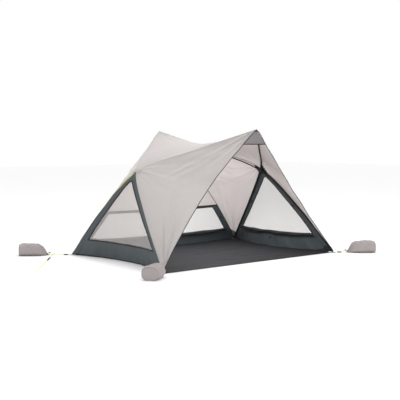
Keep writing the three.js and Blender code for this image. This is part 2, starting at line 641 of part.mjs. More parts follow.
// A webbing ring outside each crossing hub, for a guy line.
function addGuyRings() {
  for (const side of [LEFT, RIGHT]) {
    const centre = hubAt(side).add(new THREE.Vector3(side * RING.out, 0, GUY.startUp));
    const ring = new THREE.TorusGeometry(RING.radius, RING.wire, 6, 16).rotateX(Math.PI / 2);
    place(`guy_ring_${sideName[side]}`, ring.translate(centre.x, centre.y, centre.z), webbing);
  }
}

addTop();
corners.forEach(addWing);
addGusset();
addWalls();
addGroundsheet();
addPoles();
addHubs();
corners.forEach(addTab);
bagPlans.forEach(addBag);
windows.forEach(addBlind);
windows.forEach(addToggles);
addGuy();
addGuyRings();

export default shelter;
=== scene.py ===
import math

import bmesh
import bpy
import numpy as np
from mathutils import Matrix, Vector


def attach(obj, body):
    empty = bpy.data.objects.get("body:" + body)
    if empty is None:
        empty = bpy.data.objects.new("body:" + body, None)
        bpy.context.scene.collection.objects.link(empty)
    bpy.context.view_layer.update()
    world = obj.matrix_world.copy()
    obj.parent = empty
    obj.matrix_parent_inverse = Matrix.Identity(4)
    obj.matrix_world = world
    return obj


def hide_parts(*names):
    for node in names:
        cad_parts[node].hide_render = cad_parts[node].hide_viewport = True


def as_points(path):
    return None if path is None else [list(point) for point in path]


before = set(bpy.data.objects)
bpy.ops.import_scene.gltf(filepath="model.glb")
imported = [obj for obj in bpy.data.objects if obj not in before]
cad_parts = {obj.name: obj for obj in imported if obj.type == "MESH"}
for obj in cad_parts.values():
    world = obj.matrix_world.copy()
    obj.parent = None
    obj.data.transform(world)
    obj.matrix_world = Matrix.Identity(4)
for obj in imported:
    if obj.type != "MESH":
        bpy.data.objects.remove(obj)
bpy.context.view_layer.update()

# Sizes are in metres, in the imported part's frame: +X right along the open front, +Y to the rear, +Z up.
LEFT, RIGHT, FRONT, REAR = -1, 1, -1, 1
SIDE_NAME = {LEFT: "left", RIGHT: "right"}
END_NAME = {FRONT: "front", REAR: "rear"}
CORNERS = [(side, end) for side in (LEFT, RIGHT) for end in (FRONT, REAR)]
FOOT = np.array((1.137, 0.803, 0.013))
HUB = np.array((0.840, 0.027, 0.880))
PEAK = np.array((0.0, 0.795, 1.300))
SADDLE_HEIGHT = 1.174
LOWER_BULGE, UPPER_BULGE = 0.050, 0.022
CROSSING_OFFSET = 0.0068
SKIN_FOOT, SKIN_MIDDLE, SKIN_HUB, SKIN_PEAK = 0.016, 0.012, 0.025, 0.025
BODY_CENTRE = np.array((0.0, 0.0, 0.300))
EDGE_BOW = 0.086
SIDE_FLOOR_BOW, REAR_FLOOR_BOW, HEM_DROP = 0.175, 0.110, 0.008
UP = np.array((0.0, 0.0, 1.0))


# ---- lines and surfaces, as in the part ----
def unit(v):
    v = np.asarray(v, float)
    return v / np.maximum(np.linalg.norm(v, axis=-1, keepdims=True), 1e-12)


def smooth(x):
    x = np.clip(x, 0, 1)
    return x * x * (3 - 2 * x)


def lengths_along(points):
    """The distance along a line at each of its points."""
    return np.concatenate([[0], np.cumsum(np.linalg.norm(np.diff(points, axis=0), axis=1))])


def closed(points):
    """A loop's points with the first one again at the end."""
    return np.vstack([points, points[:1]])


def curve_through(points):
    """A centripetal Catmull-Rom curve through the points, as a function of a parameter from 0 to 1."""
    p = np.array(points, float)
    p = np.vstack([2 * p[0] - p[1], p, 2 * p[-1] - p[-2]])
    spans = np.linalg.norm(np.diff(p, axis=0), axis=1) ** 0.5
    last = len(points) - 2

    def at(t):
        place = np.clip(np.asarray(t, float), 0, 1) * (last + 1)
        k = np.minimum(place.astype(int), last)
        w = (place - k)[..., None]
        a, b, c, d = p[k], p[k + 1], p[k + 2], p[k + 3]
        da, db, dc = (spans[k + i][..., None] for i in range(3))
        start = ((b - a) / da - (c - a) / (da + db) + (c - b) / db) * db
        end = ((c - b) / db - (d - b) / (db + dc) + (d - c) / dc) * db
        return b + start * w + (3 * (c - b) - 2 * start - end) * w**2 + (2 * (b - c) + start + end) * w**3

    return at


def mirrored(point, side, end):
    return point * np.array((side, end, 1))


def foot_at(side, end):
    return mirrored(FOOT, side, end)


def hub_at(side):
    return mirrored(HUB, side, 1)


def peak_at(end):
    return mirrored(PEAK, 1, end)


def hub_out(side, end):
    foot, chord = foot_at(side, end), peak_at(-end) - foot_at(side, end)
    rel = hub_at(side) - foot
    return unit(rel - chord * (rel @ chord) / (chord @ chord))


def hub_normal(side):
    return unit(hub_out(side, FRONT) + hub_out(side, REAR))


def bulged(a, b, bulge, out):
    chord = unit(b - a)
    return (a + b) / 2 + unit(out - chord * (out @ chord)) * bulge


def arch_points(side, end, hub):
    foot, peak, out = foot_at(side, end), peak_at(-end), hub_out(side, end)
    return [foot, bulged(foot, hub, LOWER_BULGE, out), hub, bulged(hub, peak, UPPER_BULGE, out), peak]


def pole_curve(side, end):
    return curve_through(arch_points(side, end, hub_at(side) + hub_out(side, end) * end * CROSSING_OFFSET))


def seam_curve(side, end):
    axis = curve_through(arch_points(side, end, hub_at(side)))
    foot = foot_at(side, end)

    def lift(point, distance):
        return point + unit(point - BODY_CENTRE) * distance

    return curve_through([
        foot + unit(foot * np.array((1, 1, 0))) * SKIN_FOOT,
        lift(axis(0.25), SKIN_MIDDLE),
        hub_at(side) + hub_normal(side) * SKIN_HUB,
        lift(axis(0.75), SKIN_MIDDLE),
        lift(peak_at(-end), SKIN_PEAK),
    ])


SEAMS = {corner: seam_curve(*corner) for corner in CORNERS}


def lower_seam(side, end):
    return lambda s: SEAMS[side, end](0.5 * (1 - np.asarray(s, float)))


def upper_seam(side, end):
    return lambda s: SEAMS[side, -end](0.5 * (1 + np.asarray(s, float)))


def fan(line_a, line_b, bow):
    """Rows between two lines that start together, curving by bow more and more towards the last row."""
    bow = np.array(bow, float)

    def surface(s, t):
        s, t = np.broadcast_arrays(np.asarray(s, float), np.asarray(t, float))
        t = t[..., None]
        return line_a(s) * (1 - t) + line_b(s) * t + bow * (4 * t * (1 - t) * s[..., None] ** 2)

    return surface


def wing_surface(side, end):
    peak, foot, hub = upper_seam(side, end)(1), lower_seam(side, end)(1), lower_seam(side, end)(0)
    return fan(upper_seam(side, end), lower_seam(side, end), unit(hub - (peak + foot) / 2) * EDGE_BOW)


def free_edge(side, end):
    return lambda s: wing_surface(side, end)(np.ones_like(np.asarray(s, float)), s)


def side_surface(side):
    return fan(lower_seam(side, FRONT), lower_seam(side, REAR), (-side * SIDE_FLOOR_BOW, 0, -HEM_DROP))


rear_surface = fan(free_edge(LEFT, REAR), free_edge(RIGHT, REAR), (0, -REAR_FLOOR_BOW, -HEM_DROP))
gusset_surface = fan(free_edge(LEFT, FRONT), free_edge(RIGHT, FRONT), (0, 0, 0))


def saddle(u, v):
    """The Coons patch between the four upper seams.

    u runs from the left hub to the rear peak, and v to the front one.
    """
    u, v = np.broadcast_arrays(np.asarray(u, float), np.asarray(v, float))
    hub_l, hub_r = upper_seam(LEFT, REAR)(0), upper_seam(RIGHT, REAR)(0)
    rear, front = upper_seam(LEFT, REAR)(1), upper_seam(LEFT, FRONT)(1)
    left_rear, right_front = upper_seam(LEFT, REAR)(u), upper_seam(RIGHT, FRONT)(1 - u)
    left_front, right_rear = upper_seam(LEFT, FRONT)(v), upper_seam(RIGHT, REAR)(1 - v)
    u, v = u[..., None], v[..., None]
    ruled = left_rear * (1 - v) + right_front * v + left_front * (1 - u) + right_rear * u
    corners = (hub_l * (1 - u) + rear * u) * (1 - v) + (front * (1 - u) + hub_r * u) * v
    return ruled - corners, 16 * u * (1 - u) * v * (1 - v)


SADDLE_LIFT = SADDLE_HEIGHT - saddle(0.5, 0.5)[0][2]


def top_surface(u, v):
    points, bulge = saddle(u, v)
    return points + UP * bulge * SADDLE_LIFT


# ---- materials ----
def srgb(r, g, b):
    """A linear colour from 0-255 display values."""
    def linear(value):
        return value / 12.92 if value <= 0.04045 else ((value + 0.055) / 1.055) ** 2.4

    return (*[linear(x / 255) for x in (r, g, b)], 1)


def grey(value):
    return value, value, value, 1


class Nodes:
    """A material's node tree, with its Principled shader and a few helpers."""

    def __init__(self, name, roughness, **sockets):
        self.material = bpy.data.materials.new(name)
        self.material.use_nodes = True
        self.tree = self.material.node_tree
        self.shader = self.tree.nodes["Principled BSDF"]
        self.shader.inputs["Roughness"].default_value = roughness
        for socket, value in sockets.items():
            self.shader.inputs[socket.replace("_", " ")].default_value = value

    def node(self, kind, **settings):
        made = self.tree.nodes.new("ShaderNode" + kind)
        for key, value in settings.items():
            if key in made.inputs:
                made.inputs[key].default_value = value
            else:
                setattr(made, key, value)
        return made

    def link(self, output, socket):
        self.tree.links.new(output, socket)

    def coordinates(self, scale=(1, 1, 1), kind="UV", turn=0.0):
        source = self.node("TexCoord")
        mapping = self.node("Mapping")
        mapping.inputs["Scale"].default_value = scale
        mapping.inputs["Rotation"].default_value = (0, 0, turn)
        self.link(source.outputs[kind], mapping.inputs["Vector"])
        return mapping.outputs["Vector"]

    def noise(self, scale, detail=4.0, roughness=0.55, kind="Object", stretch=(1, 1, 1)):
        texture = self.node("TexNoise", Scale=scale, Detail=detail, Roughness=roughness)
        self.link(self.coordinates(stretch, kind), texture.inputs["Vector"])
        return texture.outputs["Fac"]

    def wave(self, scale, direction, kind="UV", distortion=0.0):
        texture = self.node("TexWave", bands_direction=direction, Scale=scale, Distortion=distortion)
        self.link(self.coordinates(kind=kind), texture.inputs["Vector"])
        return texture.outputs["Fac"]

    def maths(self, operation, a, b):
        made = self.node("Math", operation=operation)
        for socket, value in zip(made.inputs, (a, b)):
            if isinstance(value, (int, float)):
                socket.default_value = value
            else:
                self.link(value, socket)
        return made.outputs[0]

    def ramp(self, factor, stops):
        made = self.node("ValToRGB")
        while len(made.color_ramp.elements) < len(stops):
            made.color_ramp.elements.new(0.5)
        for element, (position, color) in zip(made.color_ramp.elements, stops):
            element.position, element.color = position, color
        self.link(factor, made.inputs["Fac"])
        return made.outputs["Color"]

    def mix(self, factor, a, b, blend="MIX"):
        made = self.node("Mix", data_type="RGBA", blend_type=blend)
        for socket, value in ((made.inputs[0], factor), (made.inputs[6], a), (made.inputs[7], b)):
            if isinstance(value, (tuple, int, float)):
                socket.default_value = value
            else:
                self.link(value, socket)
        return made.outputs[2]

    def color(self, output):
        self.link(output, self.shader.inputs["Base Color"])

    def roughness(self, factor, low, high):
        made = self.node("MapRange")
        made.inputs["To Min"].default_value = low
        made.inputs["To Max"].default_value = high
        self.link(factor, made.inputs["Value"])
        self.link(made.outputs["Result"], self.shader.inputs["Roughness"])

    def bump(self, *layers):
        """Bump layers of (height output, strength, distance), the first one innermost."""
        normal = None
        for height, strength, distance in layers:
            made = self.node("Bump", Strength=strength, Distance=distance)
            self.link(height, made.inputs["Height"])
            if normal:
                self.link(normal, made.inputs["Normal"])
            normal = made.outputs["Normal"]
        self.link(normal, self.shader.inputs["Normal"])


THREAD = 260  # waves per metre of UV in a woven cloth's bump


def shade(color, factor):
    return tuple(c * factor for c in color[:3]) + (1,)


def cloth(name, color, roughness=0.72, variation=0.07, crease=0.35, **sockets):
    """A coated woven cloth: fine crossed threads, faint blotches of tone and small creases."""
    n = Nodes(name, roughness, **sockets)
    blotch = n.noise(2.6, 5)
    fine = n.noise(38, 3)
    tone = n.ramp(blotch, [(0.3, shade(color, 1 - variation)), (0.7, shade(color, 1 + variation))])
    threads = n.maths("ADD", n.wave(THREAD, "X"), n.wave(THREAD, "Y"))
    grain = n.ramp(n.maths("MULTIPLY", threads, 0.5), [(0, grey(0.94)), (1, grey(1.03))])
    speckle = n.ramp(fine, [(0.35, grey(0.97)), (0.65, grey(1))])
    n.color(n.mix(1.0, n.mix(0.55, tone, grain, "MULTIPLY"), speckle, "MULTIPLY"))
    n.roughness(fine, roughness - 0.06, roughness + 0.06)
    n.bump((n.noise(9, 5), crease, 0.004), (threads, 0.12, 0.0004))
    return n.material


def mesh_cloth(name, color, alpha):
    """A see-through knitted mesh: open holes shown as one even transparency, with a faint net of threads."""
    n = Nodes(name, 0.85, Alpha=alpha)
    net = n.maths("MAXIMUM", n.wave(130, "X"), n.wave(130, "Y"))
    n.color(n.ramp(net, [(0.2, shade(color, 0.86)), (0.9, shade(color, 1.06))]))
    n.bump((net, 0.2, 0.0005))
    return n.material


def webbing_cloth(name, color):
    n = Nodes(name, 0.8)
    rib = n.wave(340, "X")
    twill = n.wave(300, "DIAGONAL")
    weave = n.maths("MULTIPLY", rib, twill)
    n.color(n.mix(weave, shade(color, 0.7), shade(color, 1.9)))
    n.bump((weave, 0.5, 0.0006))
    return n.material


def moulded(name, color, roughness=0.42):
    """Moulded nylon: a fine spark-eroded grain, and a slightly lighter tone where it is rubbed."""
    n = Nodes(name, roughness)
    grain = n.noise(1400, 2)
    rub = n.noise(40, 4)
    n.color(n.ramp(rub, [(0.35, shade(color, 0.85)), (0.8, shade(color, 1.5))]))
    n.roughness(rub, roughness - 0.08, roughness + 0.12)
    n.bump((grain, 0.25, 0.0002))
    return n.material


def glass_fibre(name, color):
    """A pultruded glass-fibre rod: long faint fibres under a satin skin."""
    n = Nodes(name, 0.32)
    fibre = n.noise(30, 3, kind="UV", stretch=(40, 1, 1))
    n.color(n.ramp(fibre, [(0.3, shade(color, 0.7)), (0.75, shade(color, 1.5))]))
    n.bump((fibre, 0.15, 0.0002))
    return n.material


def braided(name, color):
    """A braided cord: two sets of strands that wind opposite ways, with a dark fleck where they cross."""
    n = Nodes(name, 0.6)
    one = n.wave(3.0, "DIAGONAL", kind="UV")
    other = n.wave(2.2, "X", kind="UV")
    strands = n.maths("MULTIPLY", one, other)
    n.color(n.mix(strands, shade(color, 0.72), shade(color, 1.1)))
    n.bump((strands, 0.6, 0.0004))
    return n.material


CANOPY = cloth("canopy_cloth", srgb(178, 172, 170), 0.62, 0.03, 0.25,
               Subsurface_Weight=1.0, Subsurface_Scale=0.008)
CANOPY.node_tree.nodes["Principled BSDF"].inputs["Subsurface Radius"].default_value = (1.0, 0.95, 0.95)
CANOPY_TAPE = cloth("canopy_seam_tape", srgb(178, 172, 171), 0.6, 0.03, 0.2)
# The gusset is the canopy's own cloth; its darker grey is painted shade, standing for the shade under the top
# at the front.
GUSSET_PAINTED_SHADE_CLOTH = cloth("gusset_painted_shade_cloth", srgb(122, 117, 118), 0.7, 0.04, 0.3)
SLATE = cloth("slate_cloth", srgb(64, 72, 76), 0.6, 0.08, 0.35)
FLOOR_SHEET = cloth("groundsheet_cloth", srgb(50, 51, 54), 0.72, 0.08, 0.4, Specular_IOR_Level=0.2)
BLIND = cloth("blind_cloth", srgb(44, 42, 44), 0.75, 0.15, 0.5)
BAG = cloth("bag_cloth", srgb(160, 151, 151), 0.7, 0.06, 0.6)
BAG_TRIM = cloth("bag_piping_cloth", srgb(146, 138, 138), 0.7, 0.06, 0.4)
# Dark grey of the sewn-on patches; inside the peaks it is also painted shade.
PATCH = cloth("patch_cloth", srgb(120, 116, 117), 0.65, 0.06, 0.3)
SLEEVE = cloth("sleeve_cloth", srgb(24, 24, 27), 0.7, 0.12, 0.4)
MESH = mesh_cloth("window_mesh", srgb(198, 194, 191), 0.35)
BINDING = webbing_cloth("binding_tape", srgb(26, 26, 29))
WEBBING = webbing_cloth("black_webbing", srgb(20, 20, 22))
PLASTIC = moulded("black_plastic", srgb(18, 18, 20))
POLE = glass_fibre("pole_glass_fibre", srgb(34, 34, 38))
STEEL = Nodes("ferrule_steel", 0.3, Metallic=1.0)
STEEL.color(STEEL.ramp(STEEL.noise(60, 3), [(0.3, srgb(120, 120, 124)), (0.7, srgb(165, 165, 168))]))
STEEL = STEEL.material
YELLOW = braided("yellow_cord", srgb(224, 232, 62))


# ---- mesh makers ----
TUBE_UV_SCALE = 20  # UV units per metre along a tube


def linked(name, data):
    made = bpy.data.objects.new(name, data)
    bpy.context.scene.collection.objects.link(made)
    return made


def edited(mesh, edit):
    """Changes a mesh by a function of its bmesh."""
    bm = bmesh.new()
    bm.from_mesh(mesh)
    edit(bm)
    bm.to_mesh(mesh)
    bm.free()


def new_object(name, verts, faces, material, uvs=None):
    mesh = bpy.data.meshes.new(name)
    mesh.from_pydata([tuple(map(float, v)) for v in verts], [], [tuple(map(int, f)) for f in faces])
    if uvs is not None:
        layer = mesh.uv_layers.new(name="UVMap")
        loops = np.zeros(len(mesh.loops), int)
        mesh.loops.foreach_get("vertex_index", loops)
        layer.data.foreach_set("uv", np.asarray(uvs, np.float32)[loops].ravel())
    mesh.polygons.foreach_set("use_smooth", [True] * len(mesh.polygons))
    mesh.validate()
    made = linked(name, mesh)
    made.data.materials.append(material)
    return made


def modified(obj, kind, **settings):
    """obj with a modifier applied, so that its mesh is final."""
    modifier = obj.modifiers.new(kind, kind)
    for key, value in settings.items():
        setattr(modifier, key, value)
    graph = bpy.context.evaluated_depsgraph_get()
    mesh = bpy.data.meshes.new_from_object(obj.evaluated_get(graph))
    obj.modifiers.clear()
    old = obj.data
    obj.data = mesh
    bpy.data.meshes.remove(old)
    return obj


def normals_of(points):
    down = np.gradient(points, axis=0)
    across = np.gradient(points, axis=1)
    return unit(np.cross(down, across))


def face_out(normals, out):
    return normals * np.sign(np.sum(normals * np.asarray(out, float), axis=(0, 1, 2)))


def grid_faces(rows, columns, keep=None):
    faces = []
    for i in range(rows - 1):
        for j in range(columns - 1):
            if keep is None or keep(i, j):
                a = i * columns + j
                faces.append((a, a + 1, a + columns + 1, a + columns))
    return faces


def metre_uvs(points):
    """UVs in metres: across each row from its middle, and down the middle column."""
    rows, columns = points.shape[:2]
    across = np.zeros((rows, columns))
    across[:, 1:] = np.cumsum(np.linalg.norm(np.diff(points, axis=1), axis=2), axis=1)
    across -= across[:, columns // 2][:, None]
    down = lengths_along(points[:, columns // 2])
    return np.stack([across, np.broadcast_to(down[:, None], across.shape)], -1).reshape(-1, 2)


def cloth_sheet(name, points, material, thickness=0.0012, keep=None):
    """A sheet of cloth through a grid of points, with a real thickness."""
    rows, columns = points.shape[:2]
    faces = grid_faces(rows, columns, keep)
    made = new_object(name, points.reshape(-1, 3), faces, material, metre_uvs(points))
    if keep is not None:
        drop_loose(made)
    return modified(made, "SOLIDIFY", thickness=thickness, offset=0.0)


def drop_loose(obj):
    def drop(bm):
        loose = [v for v in bm.verts if not v.link_faces]
        bmesh.ops.delete(bm, geom=loose, context="VERTS")

    edited(obj.data, drop)


def frames_along(points, hint):
    """Two unit vectors across a line at each point, the first as near to hint as it can be."""
    tangent = unit(np.gradient(points, axis=0))
    hint = np.broadcast_to(np.asarray(hint, float), points.shape)
    first = unit(hint - tangent * np.sum(hint * tangent, axis=1, keepdims=True))
    return first, np.cross(tangent, first)


def tube(name, points, radius, material, sides=12, hint=(0.13, 0.21, 0.97), flatten=1.0, capped=True):
    """A closed tube along points. radius may vary along it, and flatten squeezes it along hint."""
    points = np.asarray(points, float)
    radius = np.broadcast_to(np.asarray(radius, float), (len(points),))
    first, second = frames_along(points, hint)
    angles = np.linspace(0, 2 * math.pi, sides, endpoint=False)
    ring = first[:, None] * (np.cos(angles) * flatten)[None, :, None]
    ring = ring + second[:, None] * np.sin(angles)[None, :, None]
    verts = points[:, None] + ring * radius[:, None, None]
    count = len(points)
    faces = []
    for i in range(count - 1):
        for k in range(sides):
            m = (k + 1) % sides
            faces.append((i * sides + k, (i + 1) * sides + k, (i + 1) * sides + m, i * sides + m))
    if capped:
        faces.append(tuple(range(sides)))
        faces.append(tuple((count - 1) * sides + k for k in reversed(range(sides))))
    down = lengths_along(points)[:, None] * TUBE_UV_SCALE
    uvs = np.stack(np.broadcast_arrays(np.arange(sides)[None] / sides, down), -1).reshape(-1, 2)
    made = new_object(name, verts.reshape(-1, 3), faces, material, uvs)
    return outward_faces(made)


def outward_faces(obj):
    edited(obj.data, lambda bm: bmesh.ops.recalc_face_normals(bm, faces=bm.faces))
    return obj


def joined(name, objects):
    """One object from several, keeping each one's materials."""
    first = objects[0]
    selection = {"selected_objects": objects, "selected_editable_objects": objects}
    with bpy.context.temp_override(active_object=first, object=first, **selection):
        bpy.ops.object.join()
    first.name = name
    return first


def dome_rod(name, start, end, radius, material, sides=16, rings=5):
    """A rod with rounded ends."""
    start, end = np.asarray(start, float), np.asarray(end, float)
    along = unit(end - start)
    length = np.linalg.norm(end - start)
    angle = np.linspace(0.12, math.pi / 2, rings)
    dome = radius * (1 - np.cos(angle)) * 0.9
    width = radius * np.sin(angle)
    reach = np.concatenate([dome, length - dome[::-1]])
    return tube(name, start + along * reach[:, None], np.concatenate([width, width[::-1]]), material, sides)


def ride_all(body, slot, *objects):
    for obj in objects:
        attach(obj, body)


# ---- camera ----
CAMERA_PLACE = (-5.464, -6.635, 1.186)
CAMERA_YAW, CAMERA_PITCH = math.radians(39.17), math.radians(-4.05)  # from +Y towards +X, and up
CAMERA_LENS = 72.64


def stand_in(piece, node, body, slot):
    """A piece that rides a body and takes a CAD node's place."""
    ride_all(body, slot, piece)
    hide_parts(node)


def make_camera():
    data = bpy.data.cameras.new("camera")
    data.lens, data.sensor_width = CAMERA_LENS, 36
    data.clip_end = 100
    camera = linked("camera", data)
    camera.location = CAMERA_PLACE
    camera.rotation_euler = (math.pi / 2 + CAMERA_PITCH, 0, -CAMERA_YAW)
    bpy.context.scene.camera = camera


make_camera()

# ---- cords ----
GUY_RADIUS, GUY_GAP, GUY_LOOP = 0.0015, 0.008, 0.012
GUY_START = hub_at(LEFT) + np.array((-0.054, 0, -0.002))
GUY_END = np.array((HUB[0] * LEFT - 1.148, HUB[1], GUY_RADIUS + 0.0006))
GUY_LENGTH = np.linalg.norm(GUY_END - GUY_START)
GUY_DOWN = unit(GUY_END - GUY_START)
RUNNER_FROM_GROUND, RUNNER_TAIL = 0.172, 0.078
RUNNER_SIZE, RUNNER_BORE = (0.040, 0.019, 0.008), 0.0024
ADJUSTER_SIZE, ADJUSTER_BORE, ADJUSTER_FROM_TAB = (0.046, 0.024, 0.009), 0.0032, 0.013
TETHER_PAST_TAB = 0.001
TETHER_RADIUS, TETHER_HEIGHT, TAB_OUTER = 0.002, 0.006, 0.040
BAG_NECKS = {(LEFT, FRONT): 0.086, (RIGHT, FRONT): 0.160, (LEFT, REAR): 0.262, (RIGHT, REAR): 0.086}
TETHERED = [(RIGHT, FRONT), (LEFT, REAR)]


def guy_at(distance, sideways=0.0):
    return GUY_START + GUY_DOWN * distance + np.array((0, sideways, 0))


def guy_points():
    """Down from the ring through the runner, round a loop on the ground, and back up to the stop knot."""
    length, runner = GUY_LENGTH, GUY_LENGTH - RUNNER_FROM_GROUND
    top, spread, middle = runner - RUNNER_TAIL, GUY_LENGTH - 0.062, -GUY_GAP / 2
    down = [guy_at(d) for d in (0, 0.25 * length, 0.5 * length, 0.75 * length, top, runner, spread)]
    loop = [(0.030, 0.8), (0.012, 1), (0.003, 0.7), (0, 0), (0.003, -0.7), (0.012, -1), (0.030, -0.8)]
    turn = [guy_at(length - back, middle + GUY_LOOP * side) for back, side in loop]
    up = [guy_at(d, -GUY_GAP) for d in (spread, length - 0.110, runner, runner - 0.040, top)]
    return down + turn + up


def corner_frame(side, end):
    """Out along the corner's diagonal, across it and up, as a matrix at the pole tip on the floor."""
    out = unit(foot_at(side, end) * np.array((1, 1, 0)))
    across = np.array((-out[1], out[0], 0))
    matrix = Matrix((out, across, UP)).transposed().to_4x4()
    matrix.translation = Vector(foot_at(side, end) * np.array((1, 1, 0)))
    return matrix


def placed(matrix, x, y, z):
    return np.array(matrix @ Vector((x, y, z)))


def corner_name(side, end):
    return f"{END_NAME[end]}_{SIDE_NAME[side]}"


def dense(points, count):
    return curve_through(points)(np.linspace(0, 1, count))


def path_length(points):
    return float(np.sum(np.linalg.norm(np.diff(points, axis=0), axis=1)))


def every(points, step):
    """Every step-th point of a line, and its last one, as tuples."""
    return [tuple(p) for p in points[::step]] + [tuple(points[-1])]


def knot(name, centre, direction, cord_radius, material):
    """An overhand knot: a small trefoil of cord, drawn tight round its own line."""
    t = np.linspace(0, 2 * math.pi, 60)
    size = cord_radius * 1.25
    trefoil = [np.sin(t) + 2 * np.sin(2 * t), np.cos(t) - 2 * np.cos(2 * t), -1.6 * np.sin(3 * t)]
    local = np.stack(trefoil, 1) * size * 0.62
    along = unit(direction)
    side = unit(np.cross(along, (0.2, 0.9, 0.3)))
    basis = np.stack([along, side, np.cross(along, side)])
    return tube(name, np.asarray(centre) + local @ basis, cord_radius * 0.95, material, sides=8, capped=False)


def make_guy():
    points = dense(guy_points(), 420)
    line = tube("guy_cord", points, GUY_RADIUS, YELLOW, sides=10, hint=(0, 1, 0.01))
    top_knot = knot("guy_top_knot", guy_at(0.004), GUY_DOWN, GUY_RADIUS, YELLOW)
    stop = knot("guy_stop_knot", points[-1], GUY_DOWN, GUY_RADIUS, YELLOW)
    hitch = ring_hitch()
    bight = guy_bight()
    ride_all("shelter", "yellow_cord", line, top_knot, stop, hitch, bight)
    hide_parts("guy_line")
    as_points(every(points, 3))


RING_CENTRE = {side: hub_at(side) + np.array((side * 0.038, 0, -0.002)) for side in (LEFT, RIGHT)}
RING_RADIUS, RING_WIRE = 0.010, 0.0018


def guy_bight():
    """The guy line's tied-back end beside its first stretch, down from the ring."""
    distances = np.array((0.006, 0.020, 0.060, 0.120, 0.180, 0.205))
    offsets = np.array((0.002, 0.008, 0.011, 0.010, 0.007, 0.0032))
    line = dense([guy_at(d, 0.5 * o) + UP * o for d, o in zip(distances, offsets)], 50)
    end_knot = knot("bight_knot", guy_at(0.207), GUY_DOWN, GUY_RADIUS * 1.3, YELLOW)
    return joined("guy_bight", [tube("bight_line", line, GUY_RADIUS, YELLOW, sides=8), end_knot])


def ring_hitch():
    """The short loop by which the guy line holds the left ring."""
    outer = RING_CENTRE[LEFT] + np.array((-RING_RADIUS, 0, 0))
    t = np.linspace(0, 2 * math.pi, 24, endpoint=False)
    loop = outer + np.stack([np.cos(t) * 0.0055, np.zeros_like(t), np.sin(t) * 0.0045], 1)
    return tube("guy_hitch", closed(loop), GUY_RADIUS, YELLOW, sides=8, hint=(0, 1, 0), capped=False)


DRILL_MARGIN = 0.004


def solid(name, build, material):
    """An object whose mesh is built by a function of its bmesh."""
    mesh = bpy.data.meshes.new(name)
    edited(mesh, build)
    made = linked(name, mesh)
    made.data.materials.append(material)
    return made


def drilled(obj, start, end, radius, material, **settings):
    """obj with a round hole through it from start to end."""
    drill = tube("drill", [start, end], radius, material, **settings)
    modified(obj, "BOOLEAN", operation="DIFFERENCE", object=drill, solver="EXACT")
    bpy.data.objects.remove(drill)


def rounded_block(name, size, holes, material, bevel, matrix):
    """A rounded block with round holes along X, at (y, z, radius), drilled right through."""
    box = Matrix.Diagonal((*size, 1))
    made = solid(name, lambda bm: bmesh.ops.create_cube(bm, size=1.0, matrix=box), material)
    modified(made, "BEVEL", width=bevel, segments=4)
    half = size[0] / 2 + DRILL_MARGIN
    for y, z, radius in holes:
        drilled(made, (-half, y, z), (half, y, z), radius, material, sides=20)
    made.data.transform(matrix)
    return shade_auto(made)


def shade_auto(obj, angle=35):
    """Smooth shading, kept sharp where faces turn by more than angle."""
    mesh = obj.data
    mesh.polygons.foreach_set("use_smooth", [True] * len(mesh.polygons))

    def sharpen(bm):
        for edge in bm.edges:
            turned = len(edge.link_faces) == 2 and edge.calc_face_angle(0) > math.radians(angle)
            edge.smooth = not turned

    edited(mesh, sharpen)
    return obj


def make_runner():
    matrix = Matrix((GUY_DOWN, (0, 1, 0), np.cross(GUY_DOWN, (0, 1, 0)))).transposed().to_4x4()
    matrix.translation = Vector(guy_at(GUY_LENGTH - RUNNER_FROM_GROUND, -GUY_GAP / 2))
    holes = [(y, 0, RUNNER_BORE) for y in (-GUY_GAP / 2, GUY_GAP / 2)]
    body = rounded_block("guy_runner_body", RUNNER_SIZE, holes, PLASTIC, 0.0022, matrix)
    stand_in(body, "guy_runner", "guy_runner", "black_plastic")


def make_adjuster(name, matrix):
    x = TAB_OUTER + TETHER_PAST_TAB + ADJUSTER_SIZE[0] / 2 + ADJUSTER_FROM_TAB
    at = matrix @ Matrix.Translation((x, 0, TETHER_HEIGHT))
    holes = [(0, 0, ADJUSTER_BORE)]
    body = rounded_block("tether_adjuster_body_" + name, ADJUSTER_SIZE, holes, PLASTIC, 0.0025, at)
    stand_in(body, "tether_adjuster_" + name, "tether_adjuster_" + name, "black_plastic")
    return body


def make_tether(side, end):
    matrix, name = corner_frame(side, end), corner_name(side, end)
    ends = (TAB_OUTER + TETHER_PAST_TAB, BAG_NECKS[side, end] - 0.0005)
    points = dense([placed(matrix, x, 0, TETHER_HEIGHT) for x in np.linspace(*ends, 6)], 60)
    cord = tube("tether_" + name, points, TETHER_RADIUS, YELLOW, sides=10)
    adjuster = make_adjuster(name, matrix)
    at_eye = placed(matrix, ends[1] - 0.010, 0, TETHER_HEIGHT)
    eye = knot("tether_knot_" + name, at_eye, points[-1] - points[0], TETHER_RADIUS, YELLOW)
    ride_all("sandbag_" + name, "yellow_cord", cord, eye)
    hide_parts("tether_cord_" + name)
    tuple(points[0])
    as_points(every(points, 2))


make_runner()
make_guy()
for corner in TETHERED:
    make_tether(*corner)


# ---- folds in tensioned cloth ----
def fan_folds(points, corner, towards_a, towards_b, count, height, reach, phase=0.0, near=0.05):
    """Folds that fan out from a corner between two directions and die away over reach."""
    rel = points - np.asarray(corner, float)
    distance = np.linalg.norm(rel, axis=-1)
    a, b = unit(np.asarray(towards_a) - corner), unit(np.asarray(towards_b) - corner)
    opening = math.acos(float(np.clip(a @ b, -1, 1)))
    angle = np.arccos(np.clip(np.sum(unit(rel) * a, axis=-1), -1, 1)) / opening
    envelope = np.sin(math.pi * np.clip(angle, 0, 1)) ** 0.7
    fade = smooth(distance / near) * np.exp(-distance / reach)
    coarse = np.sin(2 * math.pi * count * angle + phase + 1.3 * np.sin(5 * distance + phase))
    fine = np.sin(4 * math.pi * count * angle + 2.1 * phase)
    return height * fade * envelope * (0.65 * coarse + 0.35 * fine)


